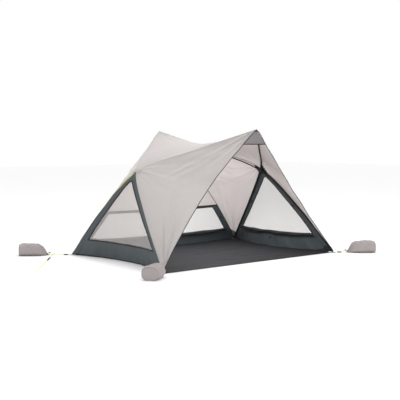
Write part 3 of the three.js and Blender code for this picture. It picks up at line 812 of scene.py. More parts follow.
def swell(points, height, wavelength, seed):
    """A slow uneven swell in the cloth, the same at every run."""
    k = 2 * math.pi / wavelength
    x, y, z = points[..., 0], points[..., 1], points[..., 2]
    one = np.sin(k * (x + 0.6 * y + 0.3 * z) + seed)
    two = np.sin(k * 1.7 * (0.5 * x - y + 0.4 * z) + 2.3 * seed)
    three = np.sin(k * 2.9 * (0.3 * x + 0.2 * y - z) + 4.1 * seed)
    return height * (0.6 * one + 0.3 * two + 0.2 * three)


def crease(points, start, end, height, width):
    """One soft crease along the line from start to end."""
    start, end = np.asarray(start, float), np.asarray(end, float)
    along = end - start
    length = np.linalg.norm(along)
    rel = points - start
    t = np.sum(rel * along, axis=-1) / length**2
    off = np.linalg.norm(rel - t[..., None] * along, axis=-1)
    across = np.exp(-((off / width) ** 2))
    return height * across * smooth(t * 3) * smooth((1 - t) * 3)


ROWS = 97
EDGE_FADE = 0.07


def edge_mask(points, free_last_row=False):
    """0 on the seams and 1 inside, so that displaced panels still meet."""
    left = np.linalg.norm(points - points[:, :1], axis=-1)
    right = np.linalg.norm(points - points[:, -1:], axis=-1)
    mask = smooth(left / EDGE_FADE) * smooth(right / EDGE_FADE)
    if not free_last_row:
        mask = mask * smooth(np.linalg.norm(points - points[-1:], axis=-1) / EDGE_FADE)
    return mask


def displaced(points, out, offset):
    normals = face_out(normals_of(points), out)
    return points + normals * offset[..., None]


def wing_out(side, end):
    return np.array((side * 0.7, end * 0.4, 0.6))


def wing_points(side, end):
    s, t = np.meshgrid(np.linspace(0, 1, ROWS), np.linspace(0, 1, ROWS), indexing="ij")
    points = wing_surface(side, end)(s, t)
    foot, peak, hub = points[-1, -1], points[-1, 0], points[0, 0]
    middle = points[-1, ROWS // 2]
    seed = 1.0 + side * 0.7 + end * 0.4
    offset = fan_folds(points, foot, hub, middle, 3.5, 0.020, 0.42, seed, near=0.24)
    offset += fan_folds(points, peak, hub, middle, 3, 0.011, 0.40, seed + 1)
    offset += fan_folds(points, hub, peak, foot, 4, 0.009, 0.38, seed + 2)
    offset += swell(points, 0.007, 0.9, seed) + swell(points, 0.0024, 0.24, 2 * seed)
    centre = (foot + peak + hub) / 3
    for shift, turn in ((0.0, 0.35), (0.09, 0.30), (0.20, 0.12)):
        start = centre + (hub - centre) * 0.45 + (foot - centre) * shift
        run = unit(peak - hub) + unit(peak - foot) * turn
        offset += crease(points, start, start + unit(run) * 0.40, 0.013, 0.022)
    offset *= edge_mask(points, free_last_row=True)
    return displaced(points, wing_out(side, end), offset)


def top_points():
    u, v = np.meshgrid(np.linspace(0, 1, ROWS), np.linspace(0, 1, ROWS), indexing="ij")
    points = top_surface(u, v)
    corners = {"left": points[0, 0], "rear": points[-1, 0], "front": points[0, -1], "right": points[-1, -1]}
    offset = swell(points, 0.004, 1.1, 0.4)
    for at, a, b, phase in (("rear", "left", "right", 0.3), ("front", "right", "left", 1.9),
                            ("left", "rear", "front", 2.6), ("right", "front", "rear", 0.9)):
        offset += fan_folds(points, corners[at], corners[a], corners[b], 4, 0.006, 0.32, phase)
    mask = edge_mask(points) * smooth(np.linalg.norm(points - points[:1], axis=-1) / EDGE_FADE)
    return displaced(points, UP, offset * mask)


WINGS = {corner: wing_points(*corner) for corner in CORNERS}
TOP = top_points()


def canopy_piece(name, points, node, material=None):
    made = cloth_sheet(name, points, material or CANOPY)
    stand_in(made, node, "shelter", "canopy_cloth")
    return made


def sheet_area(points):
    """The area of a grid of points."""
    one = np.cross(points[1:, :-1] - points[:-1, :-1], points[:-1, 1:] - points[:-1, :-1])
    two = np.cross(points[1:, :-1] - points[1:, 1:], points[:-1, 1:] - points[1:, 1:])
    return float(np.sum(np.linalg.norm(one, axis=-1) + np.linalg.norm(two, axis=-1)) / 2)


def flat_size(points):
    """The rectangle that a panel was cut from: along its last row, and across it in the panel's own plane."""
    along = unit(points[-1, -1] - points[-1, 0])
    spread = (points - points.mean(axis=(0, 1))).reshape(-1, 3)
    spread = spread - np.outer(spread @ along, along)
    across = np.linalg.svd(spread, full_matrices=False)[2][0]
    return [float(np.ptp(points @ axis)) for axis in (along, across)]


def declare_stretched(points, rests_on):
    """Works out a tensioned panel's cut size and area, and does nothing with them. Its cut isn't a rectangle,
    so the area is the smaller of its own and the rectangle's.
    """
    width, length = flat_size(points)
    area = min(sheet_area(points), width * length)


def make_canopy():
    top = canopy_piece("canopy_top_cloth", TOP, "canopy_top")
    declare_stretched(TOP, ["pole_" + corner_name(*c) for c in CORNERS])
    for side, end in CORNERS:
        name = corner_name(side, end)
        wing = canopy_piece("wing_cloth_" + name, WINGS[side, end], "wing_" + name)
        declare_stretched(WINGS[side, end], ["pole_" + name])


def ribbon(name, line, across, lift, half_width, material, thickness=0.0010):
    """A flat tape along line. Across and lift are unit vectors at each point: over its width, off its face."""
    shares = np.linspace(-1, 1, 5)
    points = line[:, None] + across[:, None] * (shares * half_width)[None, :, None] + lift[:, None] * 0.0001
    return cloth_sheet(name, points, material, thickness)


def folded_tape(name, line, into_a, into_b, lift, half_width, material):
    """A tape folded over the seam between two panels: each half lies on its own panel."""
    shares = (-1.0, -0.5, -0.12, 0.12, 0.5, 1.0)
    points = []
    for share in shares:
        into = into_a if share < 0 else into_b
        height = 0.0014 + 0.0006 * (1 - abs(share))
        points.append(line + into * abs(share) * half_width + lift * height)
    return cloth_sheet(name, np.stack(points, 1), material, 0.0010)


def top_line(side, end, inward=0):
    """The top panel's grid line beside a wing, from hub to peak, or the one that many lines further in."""
    near, far = inward, -1 - inward
    lines = {(LEFT, REAR): TOP[:, near], (LEFT, FRONT): TOP[near, :],
             (RIGHT, REAR): TOP[far, ::-1], (RIGHT, FRONT): TOP[::-1, far]}
    return lines[side, end]


def seam_tape(name, line, into_a, into_b, half_width):
    """A tape over the seam between two panels, each given by the way into it from the seam."""
    into_a, into_b = unit(into_a), unit(into_b)
    return folded_tape(name, line, into_a, into_b, unit(-(into_a + into_b)), half_width, CANOPY_TAPE)


def make_seams():
    """Taped seams where each wing meets the top, over the upper poles, and the side walls, lower down."""
    s = np.linspace(0, 1, ROWS)[3:-1]
    for side, end in CORNERS:
        name, wing, wall = corner_name(side, end), WINGS[side, end], side_surface(side)
        into_top = (top_line(side, end, 3) - top_line(side, end))[2:]
        upper = seam_tape("seam_upper_" + name, wing[2:, 0], wing[2:, 6] - wing[2:, 0], into_top, 0.009)
        edge, inner = (0.0, 0.02) if end == FRONT else (1.0, 0.98)
        into_wing = wing[3:-1, -7] - wing[3:-1, -1]
        into_wall = wall(s, inner) - wall(s, edge)
        lower = seam_tape("seam_lower_" + name, wing[3:-1, -1], into_wing, into_wall, 0.007)
        ride_all("shelter", "canopy_cloth", upper, lower)


def make_piping():
    """Dark binding along each wing's free edge, in one line from the peak to the foot."""
    for side, end in CORNERS:
        edge = WINGS[side, end][-1]
        piping = tube("edge_piping_" + corner_name(side, end), edge[1:-1], 0.0032, BINDING, sides=10)
        ride_all("shelter", "canopy_cloth", piping)


make_canopy()
make_seams()
make_piping()


# ---- front gusset and rear wall ----
GUSSET_TOP, GUSSET_BOTTOM = 0.020, 0.12
REAR_TOP, REAR_SPLIT = 0.012, 0.687
SIDE_WINDOW = {"top": 0.13, "bottom": 0.82, "strip": 0.090}
REAR_WINDOW = {"top": 0.70, "bottom": 0.906, "strip": 0.095}


def inset_columns(surface, rows, inset, count):
    """Points of a surface on the rows, with both ends in from the lines by inset metres."""
    grid = []
    for s in rows:
        width = np.linalg.norm(surface(s, 1.0) - surface(s, 0.0))
        grid.append(surface(s, np.linspace(inset / width, 1 - inset / width, count)))
    return np.array(grid)


def make_gusset():
    points = inset_columns(gusset_surface, np.linspace(GUSSET_TOP, GUSSET_BOTTOM, 16), 0.002, 25)
    top, left, right = gusset_surface(0.0, 0.5), points[-1, 0], points[-1, -1]
    points = displaced(points, (0, FRONT, 0), fan_folds(points, top, left, right, 3, 0.004, 0.2))
    # The gusset's darker grey cloth is painted shade.
    made = canopy_piece("front_gusset_cloth", points, "front_gusset", GUSSET_PAINTED_SHADE_CLOTH)
    declare_stretched(points, ["canopy_top_cloth"])
    hem = tube("gusset_hem", points[-1], 0.0045, BINDING, sides=8)
    ride_all("shelter", "canopy_cloth", hem)


def make_rear_upper():
    points = inset_columns(rear_surface, np.linspace(REAR_TOP, REAR_SPLIT, 70), 0.002, 70)
    peak, left, right = rear_surface(0.0, 0.5), points[-1, 0], points[-1, -1]
    offset = fan_folds(points, peak, left, right, 4, 0.006, 0.35, 0.7) + swell(points, 0.004, 0.8, 2.2)
    points = displaced(points, (0, REAR, 0), offset * edge_mask(points))
    made = canopy_piece("rear_wall_upper_cloth", points, "rear_wall_upper")
    declare_stretched(points, ["wing_cloth_rear_left", "wing_cloth_rear_right"])
    hem = tube("rear_upper_hem", points[-1] - np.array((0, 0.003, 0)), 0.0055, BINDING, sides=8)
    ride_all("shelter", "canopy_cloth", hem)


make_gusset()
make_rear_upper()


WALL_INSET, WALL_FADE = 0.0015, 0.05  # a wall's edges from the seams, and how far in its folds begin
MESH_INSIDE, TAPE_OUT = 0.0016, 0.0030  # the mesh and the window tapes, from the middle of a wall's cloth


def window_columns(surface, s, strip, edge, inner_count, edge_count):
    """Columns of a row: across one strip, the window, and the other strip."""
    width = np.linalg.norm(surface(s, 1.0) - surface(s, 0.0))
    share = min(strip / width, 0.47)
    left = np.linspace(edge / width, share, edge_count)
    return np.concatenate([left, np.linspace(share, 1 - share, inner_count)[1:-1], 1 - left[::-1]])


def wall_grid(surface, first_row, window, out, seed):
    """Grid of a wall with a window, its strips an even width, and the rows and columns of the window."""
    edge_count, inner_count = 9, 48
    above = np.linspace(first_row, window["top"], 8)
    beside = np.linspace(window["top"], window["bottom"], 40)
    below = np.linspace(window["bottom"], 1.0, 22)
    rows = np.concatenate([above, beside[1:], below[1:]])

    def across_row(s):
        return surface(s, window_columns(surface, s, window["strip"], WALL_INSET, inner_count, edge_count))

    points = np.array([across_row(s) for s in rows])
    first, last = len(above) - 1, len(above) + len(beside) - 2
    low, high = edge_count - 1, points.shape[1] - edge_count
    column = np.arange(points.shape[1])
    ripple = np.sin(column * 0.62 + seed) + 0.6 * np.sin(column * 1.37 + 2 * seed)
    down = smooth((rows - window["bottom"] - 0.01) / 0.12)[:, None]
    offset = 0.0045 * ripple[None, :] * down * smooth((1.0 - rows) / 0.03 + 0.3)[:, None]
    offset = offset + swell(points, 0.0025, 0.5, seed)
    mask = smooth(np.linalg.norm(points - points[:, :1], axis=-1) / WALL_FADE)
    mask = mask * smooth(np.linalg.norm(points - points[:, -1:], axis=-1) / WALL_FADE)
    points = displaced(points, out, offset * mask)
    return points, (first, last), (low, high)


def round_window(grid, rows, columns):
    """The values of a wall's grid along the edge of its window, once round."""
    (first, last), (low, high) = rows, columns
    top, bottom = grid[first, low:high], grid[last, high:low:-1]
    return np.concatenate([top, grid[first:last, high], bottom, grid[last:first:-1, low]])


def make_wall(name, surface, out, window, first_row, nodes):
    """A wall of slate cloth with a mesh window in it, taped on both faces round the window."""
    points, rows, columns = wall_grid(surface, first_row, window, out, len(name))
    (first, last), (low, high) = rows, columns

    def outside_window(i, j):
        return not (first <= i < last and low <= j < high)

    frame_cloth = cloth_sheet(f"{name}_cloth", points, SLATE, keep=outside_window)
    normals = face_out(normals_of(points), out)
    behind = np.s_[first - 1:last + 2, low - 1:high + 2]
    inner = points[behind] - normals[behind] * MESH_INSIDE
    mesh = cloth_sheet(f"{name}_mesh", inner, MESH, 0.0006)
    ride_all("shelter", "slate_cloth", frame_cloth)
    ride_all("shelter", "window_mesh", mesh)
    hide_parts(nodes[0])
    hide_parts(nodes[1])
    declare_stretched(inner, [frame_cloth.name])
    loop, lift = round_window(points, rows, columns), round_window(normals, rows, columns)
    across = unit(np.cross(np.gradient(np.vstack([loop[-1:], loop, loop[:1]]), axis=0)[1:-1], lift))
    for face, sign in (("outer", 1), ("inner", -1)):
        tape = ribbon(f"{name}_{face}_tape", closed(loop + lift * sign * TAPE_OUT), closed(across),
                      closed(lift) * sign, 0.006, BINDING)
        ride_all("shelter", "slate_cloth", tape)
    hem = tube(f"{name}_hem", points[-1] + UP * 0.001, 0.0040, BINDING, sides=10)
    ride_all("shelter", "slate_cloth", hem)
    return points


WALLS = {}
for side in (LEFT, RIGHT):
    label = SIDE_NAME[side]
    WALLS[side] = make_wall(f"side_wall_{label}", side_surface(side), (side, 0, 0.3), SIDE_WINDOW, 0.02,
                            (f"side_wall_{label}", f"mesh_window_{label}"))
WALLS["rear"] = make_wall("rear_wall", rear_surface, (0, REAR, 0), REAR_WINDOW, REAR_SPLIT,
                          ("rear_wall_lower", "mesh_window_rear"))


# ---- groundsheet ----
FLOOR_FRONT_INSET = 0.015
FLOOR_RISE = 0.030  # how far from its edge the sheet turns up to the hems
TAB_COVER = 0.100  # how far from a pole tip it lifts over the corner tab
TIP_CLEAR = 0.034  # how near to a pole tip it is cut away


def floor_grid(columns, rows):
    """The groundsheet's outline filled in: straight at the front, along the walls' hems elsewhere."""
    c, v = np.linspace(0, 1, columns)[None, :, None], np.linspace(0, 1, rows)[:, None, None]
    left, right = [side_surface(side)(1.0, v[:, 0, 0])[:, None] for side in (LEFT, RIGHT)]
    back = rear_surface(1.0, c[0, :, 0])[None]
    front = left[:1] * (1 - c) + right[:1] * c
    corners = front * (1 - v) + (left[-1:] * (1 - c) + right[-1:] * c) * v
    points = left * (1 - c) + right * c + front * (1 - v) + back * v - corners
    points[..., 1] += FLOOR_FRONT_INSET * (1 - v[..., 0]) ** 8
    return points


def make_groundsheet():
    """The groundsheet: sewn to the walls' hems, with soft wrinkles that run from side to side."""
    points = floor_grid(141, 101)
    hem_height = points[..., 2].copy()
    x, y = points[..., 0], points[..., 1]
    hem_lines = (points[:, :1], points[:, -1:], points[-1:])
    edge = np.minimum.reduce([np.linalg.norm(points - line, axis=-1) for line in hem_lines])
    wrinkle = 0.0034 * np.sin(36 * (y + 0.10 * x) + 1.5 * np.sin(3 * x)) * np.sin(2.1 * x + 1.3) ** 2
    wrinkle += 0.0026 * np.sin(23 * (y - 0.18 * x) + 2 * np.sin(4 * y)) * np.cos(1.7 * x) ** 2
    wrinkle += 0.0014 * np.sin(11 * x + 3 * np.sin(5 * y))
    feet = [foot_at(*corner)[:2] for corner in CORNERS]
    tip = np.min([np.linalg.norm(points[..., :2] - foot, axis=-1) for foot in feet], axis=0)
    front = smooth((y - y.min()) / 0.05)
    low = 0.0012 + np.maximum(wrinkle + 0.0035, 0.0003) * smooth(edge / 0.10) * (0.25 + 0.75 * front)
    low = np.maximum(low, 0.0042 * (1 - smooth((tip - 0.06) / TAB_COVER)))
    points[..., 2] = low + np.maximum(hem_height - low, 0) * (1 - smooth(edge / FLOOR_RISE))
    made = cloth_sheet("groundsheet_cloth", points, FLOOR_SHEET, keep=lambda i, j: tip[i, j] > TIP_CLEAR)
    stand_in(made, "groundsheet", "shelter", "floor_sheet")
    hem = tube("groundsheet_front_hem", points[0, 3:-3] + UP * 0.0012, 0.0026, BINDING, sides=8)
    ride_all("shelter", "floor_sheet", hem)


make_groundsheet()


# ---- poles, hubs, elbows, tips ----
POLE_RADIUS = 0.00475
SLEEVE_GAP, SLEEVE_TO_HUB = 0.060, 0.045
FERRULE_HALF, FERRULE_RADII = 0.022, (0.0056, *[0.0062] * 6, 0.0056)
SLEEVE_RADIUS = {"lower": 0.0105, "upper": 0.0078}


def pole_points(side, end, start, stop, count=120):
    """Points along a pole between two distances from its ends, evenly spaced."""
    fine = pole_curve(side, end)(np.linspace(0, 1, 1200))
    length = lengths_along(fine)
    wanted = np.linspace(start, length[-1] - stop, count)
    return np.stack([np.interp(wanted, length, fine[:, k]) for k in range(3)], 1)


def hub_distance(side, end):
    return path_length(pole_curve(side, end)(np.linspace(0, 0.5, 600)))


def pole_length(side, end):
    return path_length(pole_curve(side, end)(np.linspace(0, 1, 1200)))


def make_poles():
    for side, end in CORNERS:
        name = corner_name(side, end)
        line = pole_points(side, end, 0.021, 0.021, 160)
        pole = tube("pole_rod_" + name, line, POLE_RADIUS, POLE, sides=16)
        stand_in(pole, "pole_" + name, "shelter", "pole")
        hub, total = hub_distance(side, end), pole_length(side, end)
        make_sleeve("lower", side, end, SLEEVE_GAP, total - hub + SLEEVE_TO_HUB)
        make_sleeve("upper", side, end, hub + SLEEVE_TO_HUB, SLEEVE_GAP)


def make_sleeve(part, side, end, start, stop):
    """The sleeve that holds a stretch of a pole to the canopy, with two of the pole's ferrules in it."""
    name, count = corner_name(side, end), 90
    line = pole_points(side, end, start, stop, count)
    from_end = np.minimum(np.arange(count), np.arange(count)[::-1])
    radius = SLEEVE_RADIUS[part] * (smooth(from_end / 2.0) * 0.15 + 0.85)
    hint = unit(line - BODY_CENTRE)
    sleeve = tube(f"pole_sleeve_{part}_{name}", line, radius, SLEEVE, sides=14, hint=hint, flatten=0.78)
    ride_all("shelter", "slate_cloth", sleeve)
    for share in (0.27, 0.73):
        at = int(share * (count - 1))
        along = unit(line[at + 1] - line[at - 1])
        path = line[at] + along * np.linspace(-FERRULE_HALF, FERRULE_HALF, len(FERRULE_RADII))[:, None]
        ferrule = tube(f"ferrule_{part}_{name}_{int(share * 100)}", path, FERRULE_RADII, STEEL, sides=16)
        ride_all("shelter", "pole", ferrule)


def cup_piece(name, centre, direction, material):
    """A moulded cup for a pole end: a ribbed sleeve that flares at its mouth."""
    reach = np.array((0, 0.006, 0.012, 0.030, 0.040, 0.0445, 0.046))
    size = np.array((0.0060, 0.0078, 0.0080, 0.0076, 0.0076, 0.0084, 0.0080))
    return tube(name, np.asarray(centre) + unit(direction) * reach[:, None], size, material, sides=20)


def ball(name, centre, radius, material, squash=1.0):
    angle = np.linspace(0.08, math.pi - 0.08, 13)
    line = np.asarray(centre) + UP * (-np.cos(angle) * radius * squash)[:, None]
    return tube(name, line, np.sin(angle) * radius, material, sides=24, hint=(1, 0, 0))


def end_direction(side, end, from_start):
    points = pole_points(side, end, 0, 0, 60)
    line = pole_points(side, end, 0.046, 0.046, 2)
    return unit(line[0] - points[0]) if from_start else unit(line[-1] - points[-1])


def make_ends():
    for side, end in CORNERS:
        name, foot = corner_name(side, end), foot_at(side, end)
        cup = cup_piece("cup", foot, end_direction(side, end, True), PLASTIC)
        pin_line = foot + UP * np.array((-0.0126, -0.0115, -0.005, 0.0))[:, None]
        pin = tube("pin", pin_line, [0.0022, 0.0034, 0.0034, 0.0034], PLASTIC, 14)
        tip = joined("pole_tip_body_" + name, [ball("ball", foot, 0.009, PLASTIC), cup, pin])
        stand_in(tip, "pole_tip_" + name, "shelter", "black_plastic")
    for end in (FRONT, REAR):
        peak = peak_at(end)
        cups = [cup_piece("cup", peak, end_direction(side, -end, False), PLASTIC) for side in (LEFT, RIGHT)]
        elbow = joined(f"peak_elbow_body_{END_NAME[end]}", [ball("ball", peak, 0.010, PLASTIC), *cups])
        stand_in(elbow, f"peak_elbow_{END_NAME[end]}", "shelter", "black_plastic")


COLLAR_HALF = 0.040  # half the length of a hub's collar


def make_hubs():
    """Each hub is two stacked collars, one for each pole, moulded round a domed middle."""
    for side in (LEFT, RIGHT):
        parts = [ball("dome", hub_at(side), 0.0215, PLASTIC, 0.85)]
        for end in (FRONT, REAR):
            hub, total = hub_distance(side, end), pole_length(side, end)
            line = pole_points(side, end, hub - COLLAR_HALF, total - hub - COLLAR_HALF, 17)
            size = 0.0062 + 0.0026 * np.sin(np.linspace(0, math.pi, 17)) ** 0.5
            size[[1, 3, -2, -4]] += 0.0007
            parts.append(tube("collar", line, size, PLASTIC, sides=20))
        hub_piece = joined(f"crossing_hub_body_{SIDE_NAME[side]}", parts)
        stand_in(hub_piece, f"crossing_hub_{SIDE_NAME[side]}", "shelter", "black_plastic")


make_poles()
make_ends()
make_hubs()


# ---- reinforcement patches, and painted shade at the peaks ----
PATCH_LIFT = 0.0020  # between the middle of a panel and the middle of a patch sewn on it
HUB_PATCH_ROWS = 8  # how many rows of a wing's grid its patch at the hub covers
WALL_ROWS, WALL_COLUMNS = 9.5, 12  # how much of a wall's grid a patch at its foot covers


def sampled(grid, rows, columns):
    """The values of a grid at fractional rows and columns."""
    i = np.clip(rows.astype(int), 0, grid.shape[0] - 2)
    j = np.clip(columns.astype(int), 0, grid.shape[1] - 2)
    a, b = (rows - i)[..., None], (columns - j)[..., None]
    near = (1 - a) * grid[i, j] + a * grid[i + 1, j]
    far = (1 - a) * grid[i, j + 1] + a * grid[i + 1, j + 1]
    return (1 - b) * near + b * far


def patch(name, grid, place, out, material, slot):
    """A patch sewn on the inner face of a panel, following its folds; place is its rows and columns."""
    rows, columns = place
    normals = face_out(normals_of(grid), out)
    points = sampled(grid, rows, columns) - sampled(normals, rows, columns) * PATCH_LIFT
    ride_all("shelter", slot, cloth_sheet(name, points, material, 0.0010))


def block(rows, columns, count=48):
    """The rows and columns of a four-sided patch."""
    return np.meshgrid(np.linspace(*rows, count), np.linspace(*columns, count), indexing="ij")


def make_patches():
    last = ROWS - 1
    for side, end in CORNERS:
        name, out = corner_name(side, end), wing_out(side, end)
        near_hub = block((0.6, HUB_PATCH_ROWS), (0.5, last - 0.5))
        patch(f"hub_patch_wing_{name}", WINGS[side, end], near_hub, out, SLEEVE, "slate_cloth")
        patch(f"foot_patch_{name}", WINGS[side, end], foot_patch(), out, PATCH, "canopy_cloth")
    for side in (LEFT, RIGHT):
        make_wall_patches(side)
    # The patches inside the peaks are reinforcement patches whose dark grey is painted shade, for the shade
    # that falls inside the canopy near the peaks.
    for end, place in ((FRONT, block((0.2, 6.7), (last - 6.7, last - 0.2))),
                       (REAR, block((last - 6.7, last - 0.2), (0.2, 6.7)))):
        patch(f"peak_painted_shade_patch_{END_NAME[end]}", TOP, place, UP, PATCH, "canopy_cloth")


def make_wall_patches(side):
    """The patch under a wall's hub, and the groundsheet's cloth turned up over its two feet."""
    out, wall = (side, 0, 0.3), WALLS[side]
    rows, columns = wall.shape[0] - 1, wall.shape[1] - 1
    under_hub = block((0, 4), (0, columns))
    patch(f"hub_patch_wall_{SIDE_NAME[side]}", wall, under_hub, out, SLEEVE, "slate_cloth")
    for end in (FRONT, REAR):
        down, across = block((0, 1), (0, 1))
        place_rows = rows - 0.3 - WALL_ROWS * (1 - down) * (1 - across)
        place_columns = across * WALL_COLUMNS if end == FRONT else columns - across * WALL_COLUMNS
        name = f"wall_foot_patch_{corner_name(side, end)}"
        patch(name, wall, (place_rows, place_columns), out, FLOOR_SHEET, "floor_sheet")


def foot_patch():
    """The rows and columns of the corner patch inside a wing's foot, from its seam to its free edge."""
    reach, last = 8, ROWS - 1
    away, turn = np.meshgrid(np.linspace(0.05, 1, 48), np.linspace(0, 1, 48), indexing="ij")
    return last - reach * (1 - turn) * away, last - 0.2 - reach * turn * away


make_patches()


# ---- corner tabs, straps and locks ----
def plate_with_holes(name, outline, holes, thickness, material, matrix):
    """A flat plate with round holes, made from its outline; z runs from 0 to thickness."""
    def raise_outline(bm):
        face = bm.faces.new([bm.verts.new((x, y, 0)) for x, y in outline])
        lifted = bmesh.ops.extrude_face_region(bm, geom=[face])["geom"]
        for v in [g for g in lifted if isinstance(g, bmesh.types.BMVert)]:
            v.co.z = thickness
        bmesh.ops.recalc_face_normals(bm, faces=bm.faces)

    made = solid(name, raise_outline, material)
    for x, y, radius in holes:
        drilled(made, (x, y, -0.01), (x, y, thickness + 0.01), radius, material, sides=28, hint=(1, 0, 0))
    made.data.transform(matrix)
    return shade_auto(made, 30)


def rounded_outline(x0, x1, half, corner=0.006, steps=5):
    points = []
    for cx, cy, start in ((x1 - corner, half - corner, 0), (x0 + corner, half - corner, 90),
                          (x0 + corner, -half + corner, 180), (x1 - corner, -half + corner, 270)):
        for k in range(steps + 1):
            angle = math.radians(start + 90 * k / steps)
            points.append((cx + corner * math.cos(angle), cy + corner * math.sin(angle)))
    return points


def torus(name, centre, axis, radius, wire, material, sides=10, count=40):
    t = np.linspace(0, 2 * math.pi, count + 1)
    axis = unit(axis)
    first = unit(np.cross(axis, (0.3, 0.2, 0.9)))
    second = np.cross(axis, first)
    line = np.asarray(centre) + (first * np.cos(t)[:, None] + second * np.sin(t)[:, None]) * radius
    return tube(name, line, wire, material, sides=sides, hint=axis, capped=False)


def make_corner(side, end):
    matrix, name = corner_frame(side, end), corner_name(side, end)
    tab = plate_with_holes("corner_tab_body_" + name, rounded_outline(-0.062, 0.040, 0.017),
                           [(0, 0, 0.0044), (0.028, 0, 0.0055)], 0.0024, WEBBING, matrix)
    eyelet = torus("tab_eyelet_" + name, placed(matrix, 0, 0, 0.0026), UP, 0.0060, 0.0013, STEEL)
    grommet = torus("tab_grommet_" + name, placed(matrix, 0.028, 0, 0.0026), UP, 0.0070, 0.0013, STEEL)
    ride_all("shelter", "webbing", tab, eyelet, grommet)
    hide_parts("corner_tab_" + name)


for corner in CORNERS:
    make_corner(*corner)


def make_rings():
    for side in (LEFT, RIGHT):
        centre, ring_name = RING_CENTRE[side], f"guy_ring_body_{SIDE_NAME[side]}"
        ring = torus(ring_name, centre, (0, 1, 0), RING_RADIUS, RING_WIRE, PLASTIC, 12)
        stand_in(ring, f"guy_ring_{SIDE_NAME[side]}", "shelter", "webbing")
        inner = centre + np.array((-side * RING_RADIUS, 0, 0))
        root = hub_at(side) + hub_normal(side) * (SKIN_HUB + 0.001)
        halfway = (root + inner) / 2
        turn = [(side * 0.003, 0, 0.0035), (side * 0.0045, 0, 0.0), (side * 0.002, 0, -0.0035)]
        line = np.array([root, halfway + UP * 0.003, *[inner + np.array(step) for step in turn],
                         halfway - UP * 0.004, root - UP * 0.012])
        path = dense(line, 40)
        across = np.broadcast_to(np.array((0.0, 1.0, 0.0)), path.shape)
        lift = unit(np.cross(np.gradient(path, axis=0), across))
        loop = ribbon(f"guy_ring_webbing_{SIDE_NAME[side]}", path, across, lift, 0.0075, WEBBING, 0.0012)
        ride_all("shelter", "webbing", loop)


make_rings()

# ---- sandbags ----
BAG_LENGTH, BAG_WIDTH, BAG_HEIGHT = 0.300, 0.168, 0.130
BAG_PIPING = 0.0022
LOCK_CORD = 0.0022  # diameter of a bag's drawcord where it runs through its lock
LOCK_FROM_NECK, LOCK_HEIGHT = 0.012, 0.026
LOCK_PARTS = {  # start, end and radius of each rod, along the neck
    "barrel": (-0.009, 0.009, 0.0064),
    "button": (-0.0115, -0.004, 0.0044),
}
LOCK_LOOP = [  # one half of the drawcord's loop, from the gathers outward
    (0.009, 0.0024, 0.0198), (0.0045, 0.0024, 0.0240), (-0.002, 0.0024, 0.0260),
    (-0.012, 0.0024, 0.0260), (-0.022, 0.0024, 0.0260), (-0.029, 0.0040, 0.0250),
    (-0.0345, 0.0045, 0.0235), (-0.0385, 0.0028, 0.0222),
]
LOCK_LOOP_TURN = (-0.0400, 0.0, 0.0217)


def bag_ring(share, size, sides, seed):
    """One ring of points round a filled bag, flat underneath, with pleats near the gathered neck."""
    angle = np.linspace(0, 2 * math.pi, sides, endpoint=False)

    def bent(value):
        return np.sign(value) * np.abs(value) ** 0.78

    y = 0.5 * BAG_WIDTH * size * bent(np.cos(angle))
    z = 0.5 * BAG_HEIGHT * size * (bent(np.sin(angle)) + 1)
    near_neck = math.exp(-share / 0.16) * smooth(share / 0.03)
    pleat = 0.100 * near_neck * np.sin(11 * angle + seed) + 0.050 * near_neck * np.sin(19 * angle + 2 * seed)
    body = math.sin(math.pi * share) ** 0.6
    slack = 0.045 * np.sin(3 * angle + 7 * share + seed) + 0.030 * np.sin(5 * angle - 13 * share + 2 * seed)
    fold = np.exp(-((np.sin(2 * angle + 4.5 * share + seed) / 0.24) ** 2)) * 0.060
    fold = fold + np.exp(-((np.sin(1.5 * angle - 6 * share + 3 * seed) / 0.24) ** 2)) * 0.050
    fold = fold + np.exp(-((np.sin(3 * angle + 11 * share + 5 * seed) / 0.26) ** 2)) * 0.035
    grow = 1 + pleat + (slack - fold) * body * np.clip(np.sin(angle) + 0.6, 0, 1)
    return y * grow, np.maximum(z * grow, 0.0)


def bag_profile(share):
    knots = np.array((0, 0.02, 0.05, 0.10, 0.20, 0.34, 0.55, 0.80, 0.93, 0.985, 1.0))
    sizes = np.array((0.150, 0.135, 0.20, 0.44, 0.76, 0.93, 1.0, 0.985, 0.95, 0.90, 0.86))
    return np.interp(share, knots, sizes)


def bag_mesh(name, seed):
    sides, rows = 96, 74
    shares = np.linspace(0, 1, rows)
    verts, faces, uvs = [], [], []
    for share in shares:
        y, z = bag_ring(share, bag_profile(share), sides, seed)
        x = np.full(sides, share * BAG_LENGTH)
        verts.append(np.stack([x, y, z], 1))
        uvs.append(np.stack([np.arange(sides) / sides * 0.47, x], 1))
    last = verts[-1]
    centre = last.mean(0)
    for k, scale in enumerate((0.86, 0.66, 0.44, 0.22)):
        ring = centre + (last - centre) * scale
        ring[:, 0] = BAG_LENGTH - 0.002 + 0.006 * math.sin(math.pi * (k + 1) / 5)
        ring[:, 2] = np.maximum(ring[:, 2], 0.0)
        verts.append(ring)
        uvs.append(np.stack([ring[:, 1], ring[:, 2]], 1))
    total = len(verts)
    for i in range(total - 1):
        for k in range(sides):
            m = (k + 1) % sides
            faces.append((i * sides + k, i * sides + m, (i + 1) * sides + m, (i + 1) * sides + k))
    faces.append(tuple(reversed(range(sides))))
    faces.append(tuple((total - 1) * sides + k for k in range(sides)))
    return outward_faces(new_object(name, np.vstack(verts), faces, BAG, np.vstack(uvs)))


def moved(points, matrix):
    return np.array([matrix @ Vector(p) for p in points])


